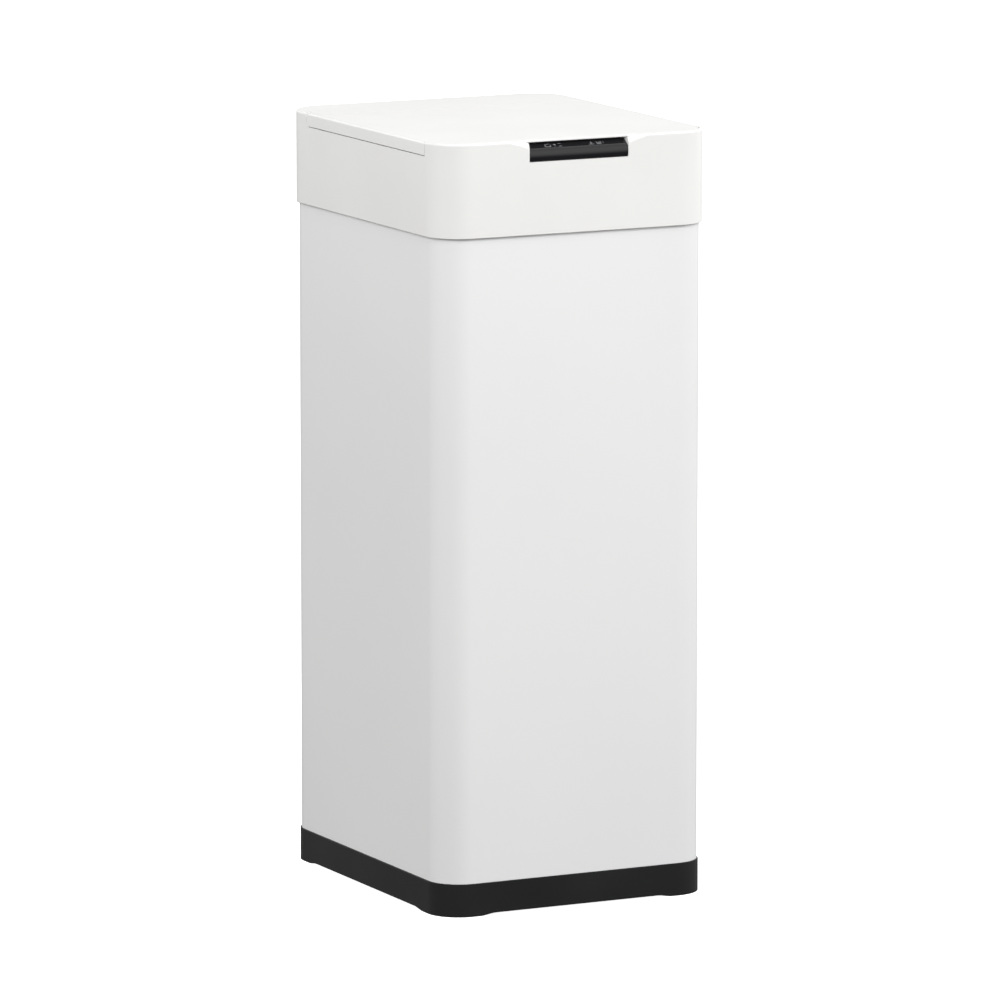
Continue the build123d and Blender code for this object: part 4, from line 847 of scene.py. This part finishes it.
# %% Signs for lift and press
def strokes(lines, middle_x, width=0.0006, raised=0.00003):
    """Thin boxes along lines on the sloped facet. A line is two points of (across, up the slope).

    A box's corners are the line's ends, moved half a width to each side, at two heights above the
    facet, whose three directions are X, up the slope, and its normal.
    """
    lines = np.asarray(lines, float) * MM
    along = lines[:, 1] - lines[:, 0]
    along = along / np.linalg.norm(along, axis=1, keepdims=True)
    across = np.stack([-along[:, 1], along[:, 0]], axis=1) * width / 2
    flat = np.stack([lines[:, 0] - across, lines[:, 1] - across, lines[:, 1] + across,
                     lines[:, 0] + across], axis=1)
    fold = np.array(outer[1])
    slope = np.array(outer[2]) - fold
    slope = slope / np.linalg.norm(slope)
    normal = np.array([-slope[1], slope[0]])
    layers = []
    for height in (-raised, raised):
        place = fold + flat[..., 1:] * slope + height * normal
        layers.append(np.concatenate([middle_x + flat[..., :1], place], axis=-1))
    points = np.concatenate(layers, axis=1)
    box = np.array([(0, 1, 2, 3), (4, 7, 6, 5), (0, 4, 5, 1), (1, 5, 6, 2), (2, 6, 7, 3), (3, 7, 4, 0)])
    faces = (np.arange(len(lines))[:, None, None] * 8 + box[None, :, ::-1]).reshape(-1, 4)
    return points.reshape(-1, 3), faces.tolist()


print("the slope is", round(float(np.hypot(*np.subtract(outer[2], outer[1]))) / MM, 2), "mm long")

# %% The two signs
LIFT_X = -27.0 * MM
PRESS_X = 22.5 * MM
LIFT = [((-9, 4.2), (-9, 7.4)), ((-9, 4.2), (-3, 4.2)), ((-3, 4.2), (-3, 7.4)), ((-9, 7.4), (-4.2, 8.6)),
        ((2, 4.4), (2, 8.2)), ((0.6, 6.8), (2, 8.2)), ((3.4, 6.8), (2, 8.2)),
        ((6.0, 4.2), (9.6, 4.2)), ((6.0, 8.4), (9.6, 8.4))]
PRESS = [((-9, 4.2), (-3, 4.2)), ((-6, 8.4), (-6, 5.2)), ((-7.2, 6.4), (-6, 5.2)), ((-4.8, 6.4), (-6, 5.2)),
         ((0.4, 4.2), (0.4, 8.4)), ((0.4, 4.2), (5.0, 4.2)), ((5.0, 4.2), (5.0, 8.4)),
         ((1.4, 5.4), (4.0, 5.4)), ((1.4, 6.6), (4.0, 6.6)), ((8, 5.0), (8, 8.0))]
marks = make_piece("panel_marks", [strokes(LIFT, LIFT_X), strokes(PRESS, PRESS_X)], printed_grey())
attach(marks, body_of["panel_lens"])

# %% [markdown]
# ## Bucket, bag ring, seal, housing and wiper
#
# Under the lid a loose bucket takes the bag, and a ring lies over its edge. All five pieces follow
# the same round-cornered loop, so each is a list of rows: half sizes, corner radius, height, and how
# far each corner of the section is rounded. The bucket's rows go up the outside and down the inside.

# %% Bucket
TAPER = 12 * MM
WALL = 2 * MM
centre, half = box_of("inner_bucket")
floor_low, rim = span(centre, half, 2)
side_x = half[0] - 2 * MM
side_y = half[1] - 2 * MM
rows = [(side_x - TAPER - 3 * MM, side_y - TAPER - 3 * MM, 23 * MM, floor_low, 0.5 * MM),
        (side_x - TAPER, side_y - TAPER, 26 * MM, floor_low, 3 * MM),
        (side_x, side_y, 30 * MM, rim - 4 * MM, 0.8 * MM),
        (side_x + 2 * MM, side_y + 2 * MM, 32 * MM, rim - 4 * MM, 0.5 * MM),
        (side_x + 2 * MM, side_y + 2 * MM, 32 * MM, rim, 0.9 * MM),
        (side_x - WALL, side_y - WALL, 28 * MM, rim, 0.8 * MM),
        (side_x - WALL - TAPER, side_y - WALL - TAPER, 24 * MM, floor_low + 3 * MM, 6 * MM),
        (side_x - 30 * MM, side_y - 30 * MM, 12 * MM, floor_low + 3 * MM, 0.5 * MM)]
make_piece("bucket", [loops(rounded_rows(rows), centre[1])], dark_plastic(), "inner_bucket")

# %% Closed rings
def round_ring(name, rows, material, node):
    """A ring whose section is a closed list of rows, in the middle of the CAD node it stands for."""
    section = rounded_rows(rows, closed=True)
    return make_piece(name, [loops(section, box_of(node)[0][1], closed=True)], material, node)


HOUSING_WALL = 3 * MM
throat_x, throat_y = box_of("ram_housing")[1][:2] - HOUSING_WALL
print("the ram's throat is", round(2 * throat_x / MM, 1), "by", round(2 * throat_y / MM, 1), "mm")

# %% Bag ring
centre, half = box_of("bag_ring")
ring_low, ring_top = span(centre, half, 2)
plate_low = ring_top - 2 * MM
skirt_x = side_x - WALL - 2 * MM
skirt_y = side_y - WALL - 2 * MM
rows = [(half[0], half[1], 34 * MM, plate_low, 0.3 * MM),
        (half[0], half[1], 34 * MM, ring_top, 0.8 * MM),
        (throat_x, throat_y, 15 * MM, ring_top, 0.8 * MM),
        (throat_x, throat_y, 15 * MM, plate_low, 0.3 * MM),
        (skirt_x - 2 * MM, skirt_y - 2 * MM, 24 * MM, plate_low, 0.6 * MM),
        (skirt_x - 2 * MM, skirt_y - 2 * MM, 24 * MM, ring_low, 0.6 * MM),
        (skirt_x, skirt_y, 26 * MM, ring_low, 0.6 * MM), (skirt_x, skirt_y, 26 * MM, plate_low, 0.6 * MM)]
round_ring("ring", rows, grey_plastic(), "bag_ring")

# %% Seal on the ring
centre, half = box_of("ring_seal")
low, high = span(centre, half, 2)
rows = [(half[0], half[1], 19 * MM, low, 0.2 * MM), (half[0], half[1], 19 * MM, high, 0.9 * MM),
        (throat_x, throat_y, 15 * MM, high, 0.9 * MM), (throat_x, throat_y, 15 * MM, low, 0.2 * MM)]
round_ring("seal", rows, black_rubber(), "ring_seal")

# %% Housing of the ram
centre, half = box_of("ram_housing")
low, high = span(centre, half, 2)
rows = [(half[0], half[1], 18 * MM, low, 0.8 * MM), (half[0], half[1], 18 * MM, high, 0.2 * MM),
        (throat_x, throat_y, 15 * MM, high, 0.2 * MM), (throat_x, throat_y, 15 * MM, low, 0.8 * MM)]
round_ring("ram_skirt", rows, grey_plastic(), "ram_housing")

# %% Wiper round the press plate
centre, half = box_of("plate_wiper")
low, high = span(centre, half, 2)
plate_x = half[0] - 1.5 * MM
plate_y = half[1] - 1.5 * MM
rows = [(plate_x, plate_y, 12 * MM, low, 0.1 * MM),
        (half[0] - 0.5 * MM, half[1] - 0.5 * MM, 13 * MM, low, 0.4 * MM),
        (half[0], half[1], 13.5 * MM, low + 1 * MM, 0.4 * MM),
        (half[0] - 0.6 * MM, half[1] - 0.6 * MM, 13 * MM, high, 0.4 * MM),
        (plate_x, plate_y, 12 * MM, high, 0.1 * MM)]
round_ring("wiper", rows, black_rubber(), "plate_wiper")

# %% [markdown]
# ## Motors, gearboxes, rollers and bushes
#
# These are turned parts. A motor's case is drawn from one cup, with a rounded shoulder and a boss for
# its rear bearing; a gearbox is a stack of rings with a groove at each joint. The profile of each, a
# list of places along X with a radius, is turned about the part's own line.


# %% Motors
def motor_rows(low, high, radius, boss_radius):
    """A can with a boss at its low end, a rolled groove near it and rounded shoulders."""
    shoulder = low + 4 * MM
    return rounded_rows([
        (low, 0, 0), (low, boss_radius, 0.6 * MM), (shoulder, boss_radius, 0.8 * MM),
        (shoulder, radius, 1.8 * MM), (shoulder + 7 * MM, radius, 0.4 * MM),
        (shoulder + 7.6 * MM, radius - 0.5 * MM, 0.2 * MM),
        (shoulder + 8.4 * MM, radius - 0.5 * MM, 0.2 * MM),
        (shoulder + 9 * MM, radius, 0.4 * MM), (high - 2.5 * MM, radius, 0.3 * MM),
        (high - 2.5 * MM, radius - 0.4 * MM, 0.1 * MM), (high, radius - 0.4 * MM, 0.5 * MM), (high, 0, 0)])


for node, boss in (("ram_motor", 5 * MM), ("lid_motor", 4 * MM)):
    centre, half = box_of(node)
    rows = motor_rows(*span(centre, half, 0), half[1], boss)
    make_piece(node + "_can", [turned(rows, centre[1], centre[2])], motor_can(), node)


# %% Gearboxes
def gearbox_rows(low, high, radius, stages):
    """Rings of equal width, with a chamfer at each end of the stack and a groove between rings."""
    joints = np.linspace(low, high, stages + 1)
    rows = [(low, 0, 0), (low, radius - 0.8 * MM, 0.1 * MM), (low + 0.8 * MM, radius, 0.3 * MM)]
    for joint in joints[1:-1]:
        rows += [(joint - 0.5 * MM, radius, 0.1 * MM), (joint, radius - 0.5 * MM, 0.1 * MM),
                 (joint + 0.5 * MM, radius, 0.1 * MM)]
    rows += [(high - 0.8 * MM, radius, 0.3 * MM), (high, radius - 0.8 * MM, 0.1 * MM), (high, 0, 0)]
    return rounded_rows(rows)


STAGES = 3
for node in ("ram_gearbox", "lid_gearbox"):
    centre, half = box_of(node)
    rows = gearbox_rows(*span(centre, half, 0), half[1], STAGES)
    make_piece(node + "_rings", [turned(rows, centre[1], centre[2])], zinc_steel(), node)


# %% Rollers
def mirrored_tubes(rows, y, z):
    """The same tube about an X line on the right and on the left, whose rows run the other way."""
    left = rows[::-1] * np.array([-1, 1])
    return [turned(rows, y, z, closed=True), turned(left, y, z, closed=True)]


ROLLER_WIDTH = 4.7 * MM
ROLLER_BORE = 3.05 * MM
for node in ("upper_rollers", "lower_rollers"):
    centre, half = box_of(node)
    out_x = half[0]
    in_x = out_x - ROLLER_WIDTH
    rows = rounded_rows([(in_x, ROLLER_BORE, 0.2 * MM), (in_x, half[2], 0.7 * MM),
                         (out_x, half[2], 0.7 * MM), (out_x, ROLLER_BORE, 0.2 * MM)], closed=True)
    make_piece(node + "_turned", mirrored_tubes(rows, centre[1], centre[2]), nylon(), node)

# %% Bushes
BUSH_LENGTH = 5.0 * MM
BUSH_BORE = 5.05 * MM
BUSH_RADIUS = 7 * MM
FLANGE_WIDTH = 1 * MM
centre, half = box_of("pivot_bearings")
out_x = half[0]
flange_x = out_x - BUSH_LENGTH
rows = rounded_rows([(flange_x, BUSH_BORE, 0.3 * MM), (flange_x, half[2], 0.3 * MM),
                     (flange_x + FLANGE_WIDTH, half[2], 0.3 * MM),
                     (flange_x + FLANGE_WIDTH, BUSH_RADIUS, 0.2 * MM),
                     (out_x, BUSH_RADIUS, 0.4 * MM), (out_x, BUSH_BORE, 0.3 * MM)], closed=True)
make_piece("bushes", mirrored_tubes(rows, centre[1], centre[2]), bronze(), "pivot_bearings")

# %% [markdown]
# ## The charcoal filter
#
# A charcoal pad is folded like a concertina so that air meets more of it. The section is a wave of even
# thickness between two skins: a sine along X for the front and the same sine for the back, a pad's
# thickness behind it. The outline is carried up Z.

# %% Pleated filter
PLEATS = 18
PLEAT_STEPS = 12
PAD = 2.6 * MM
centre, half = box_of("odour_filter")
x = np.linspace(-half[0], half[0], PLEATS * PLEAT_STEPS + 1)
wave = (half[1] - PAD / 2) * np.sin(x / half[0] * math.pi * PLEATS)
front = np.stack([centre[0] + x, centre[1] + wave - PAD / 2], axis=1)
back = np.stack([centre[0] + x, centre[1] + wave + PAD / 2], axis=1)[::-1]
make_piece("pleated_filter",
           [carried(np.concatenate([front, back]), span(centre, half, 2), [0, 0], along=2)],
           charcoal(), "odour_filter")

# %% [markdown]
# ## Circuit boards
#
# The main board and the panel's board work in a damp place, so each is dipped in black resin with its
# parts. A green board with bare parts is the other way, and the touch board behind the panel's skin is
# made like that. The boards keep the CAD model's form, with a very narrow bevel.

# %% Dipped boards
BOARD_EDGE = 0.15 * MM
for node in ("main_board", "panel_board"):
    refined(node, dipped_board(), BOARD_EDGE)

# %% [markdown]
# ## The other parts
#
# Rails, arms, gears, covers and screws keep the CAD model's form too. A pressed or cut edge is hardly
# rounded and a moulded one is rounder, so a table gives each part the width of its bevel in
# millimetres. It could be one width for all, but a bevel wider than a gear's tooth tip would spoil it.

# %% Cleaned copies of the other parts
EDGES = {"rear_housing": 0.25, "filter_cover": 0.25, "press_plate": 0.3, "ram_bracket": 0.2,
         "chassis_rail_left": 0.2, "chassis_rail_right": 0.2, "plate_rail_left": 0.2,
         "plate_rail_right": 0.2, "chassis_front": 0.2, "chassis_rear": 0.2, "chassis_bridge": 0.2,
         "upper_arms_a": 0.25, "upper_arms_b": 0.25, "lower_arms_a": 0.25, "lower_arms_b": 0.25,
         "ram_sector": 0.12, "ram_pinion": 0.12, "lid_gear": 0.12, "lid_pinion": 0.12,
         "power_supply": 0.4, "power_inlet": 0.25, "switch_housing": 0.4, "power_switch": 0.3,
         "foot_pads": 0.3, "base_screws": 0.12, "collar_screws": 0.12, "chassis_screws": 0.12,
         "plate_screws": 0.12, "hinge_pin": 0.3, "hinge_shaft": 0.3, "ram_shaft": 0.1,
         "limit_switches": 0.25, "touch_board": 0.1, "ir_sensors": 0.3}
for node, edge in EDGES.items():
    refined(node, edge=edge * MM)

# %% CAD nodes that keep their mesh
left = [name for name, node in nodes.items() if not node.hide_render]
for name in left:
    nodes[name].data.materials.clear()
    nodes[name].data.materials.append(FINISH_OF_SLOT[slot_of[name]]())
print("CAD nodes still showing:", left)

# %% [markdown]
# ## Floor and light
#
# The floor is a plain white sweep with a little light of its own, so that it stays even all over. The
# light is soft: a sky that is brightest round the horizon, and large boxes round the object. None
# stands where the upright facet of the panel would mirror it, so the panel stays dark.

# %% White floor
REACH = 60.0
DROP = -0.02 * MM
PALE = rgb(1.0, 1.0, 1.0)
floor_mesh = bpy.data.meshes.new("floor")
floor_mesh.from_pydata([(x, y, DROP) for x, y in ((-REACH, -REACH), (REACH, -REACH), (REACH, REACH),
                                                  (-REACH, REACH))], [], [(0, 1, 2, 3)])
floor = bpy.data.objects.new("floor", floor_mesh)
bpy.context.scene.collection.objects.link(floor)
floor_mesh.materials.append(finish(
    "pale_floor", lambda wire: noise(wire, 0.5, 2.0).mix(PALE, rgb(0.97, 0.97, 0.97)), 0.9,
    **{"Emission Color": PALE, "Emission Strength": 1.0}))
floor.visible_diffuse = False
floor.visible_glossy = False
print("the floor is", 2 * REACH, "m wide")

# %% Sky
SKY = [(0.0, 0.06), (0.36, 0.08), (0.46, 0.60), (0.52, 0.85), (0.62, 0.85), (1.0, 0.50)]
world = bpy.data.worlds.new("studio")
bpy.context.scene.world = world
world.use_nodes = True
world.node_tree.nodes.clear()
sky = Wire(world.node_tree)
direction = sky.node("ShaderNodeTexCoord", out="Generated")
height = sky.node("ShaderNodeSeparateXYZ", None, {"Vector": direction}, out=2)
tone = sky.node("ShaderNodeValToRGB", {"stops": [(p, rgb(v, v, v)) for p, v in SKY]},
                {"Fac": 0.5 + 0.5 * height})
glow = sky.node("ShaderNodeBackground", None, {"Color": tone, "Strength": 1.0})
surface = world.node_tree.nodes.new("ShaderNodeOutputWorld")
world.node_tree.links.new(glow.socket, surface.inputs["Surface"])
bpy.context.scene.view_settings.view_transform = "Standard"
print("the sky is brightest at", max(SKY, key=lambda stop: stop[1]))

# %% [markdown]
# ## Soft boxes
#
# A soft box is a lamp behind a large white cloth, which wraps its light round the corners. One strong
# box lights the front from the right, a weaker one the left side, and the others lift the top, the
# side and the back. The sky alone could do it, but then all sides would be equally bright.


# %% Soft boxes
def softbox(name, place, aim, size, power):
    """A square area light at a place, facing a point."""
    light = bpy.data.lights.new(name, "AREA")
    light.size = size
    light.energy = power
    lamp = bpy.data.objects.new(name, light)
    lamp.location = place
    lamp.rotation_euler = (Vector(aim) - Vector(place)).to_track_quat("-Z", "Y").to_euler()
    bpy.context.scene.collection.objects.link(lamp)
    print(name, "at", place, "with", power, "watts")


softbox("right_box", (2.4, -1.9, 1.9), (0, 0, 0.5), 1.6, 57)
softbox("front_box", (-0.5, -2.2, 2.6), (0, 0, 0.5), 1.2, 17)
softbox("left_box", (-2.2, -1.2, 2.0), (0, 0, 0.55), 1.4, 31)
softbox("side_box", (2.6, 0.5, 1.3), (0, 0, 0.5), 1.5, 15)
softbox("back_box", (-1.4, 2.8, 1.3), (0, 0, 0.5), 1.5, 13)
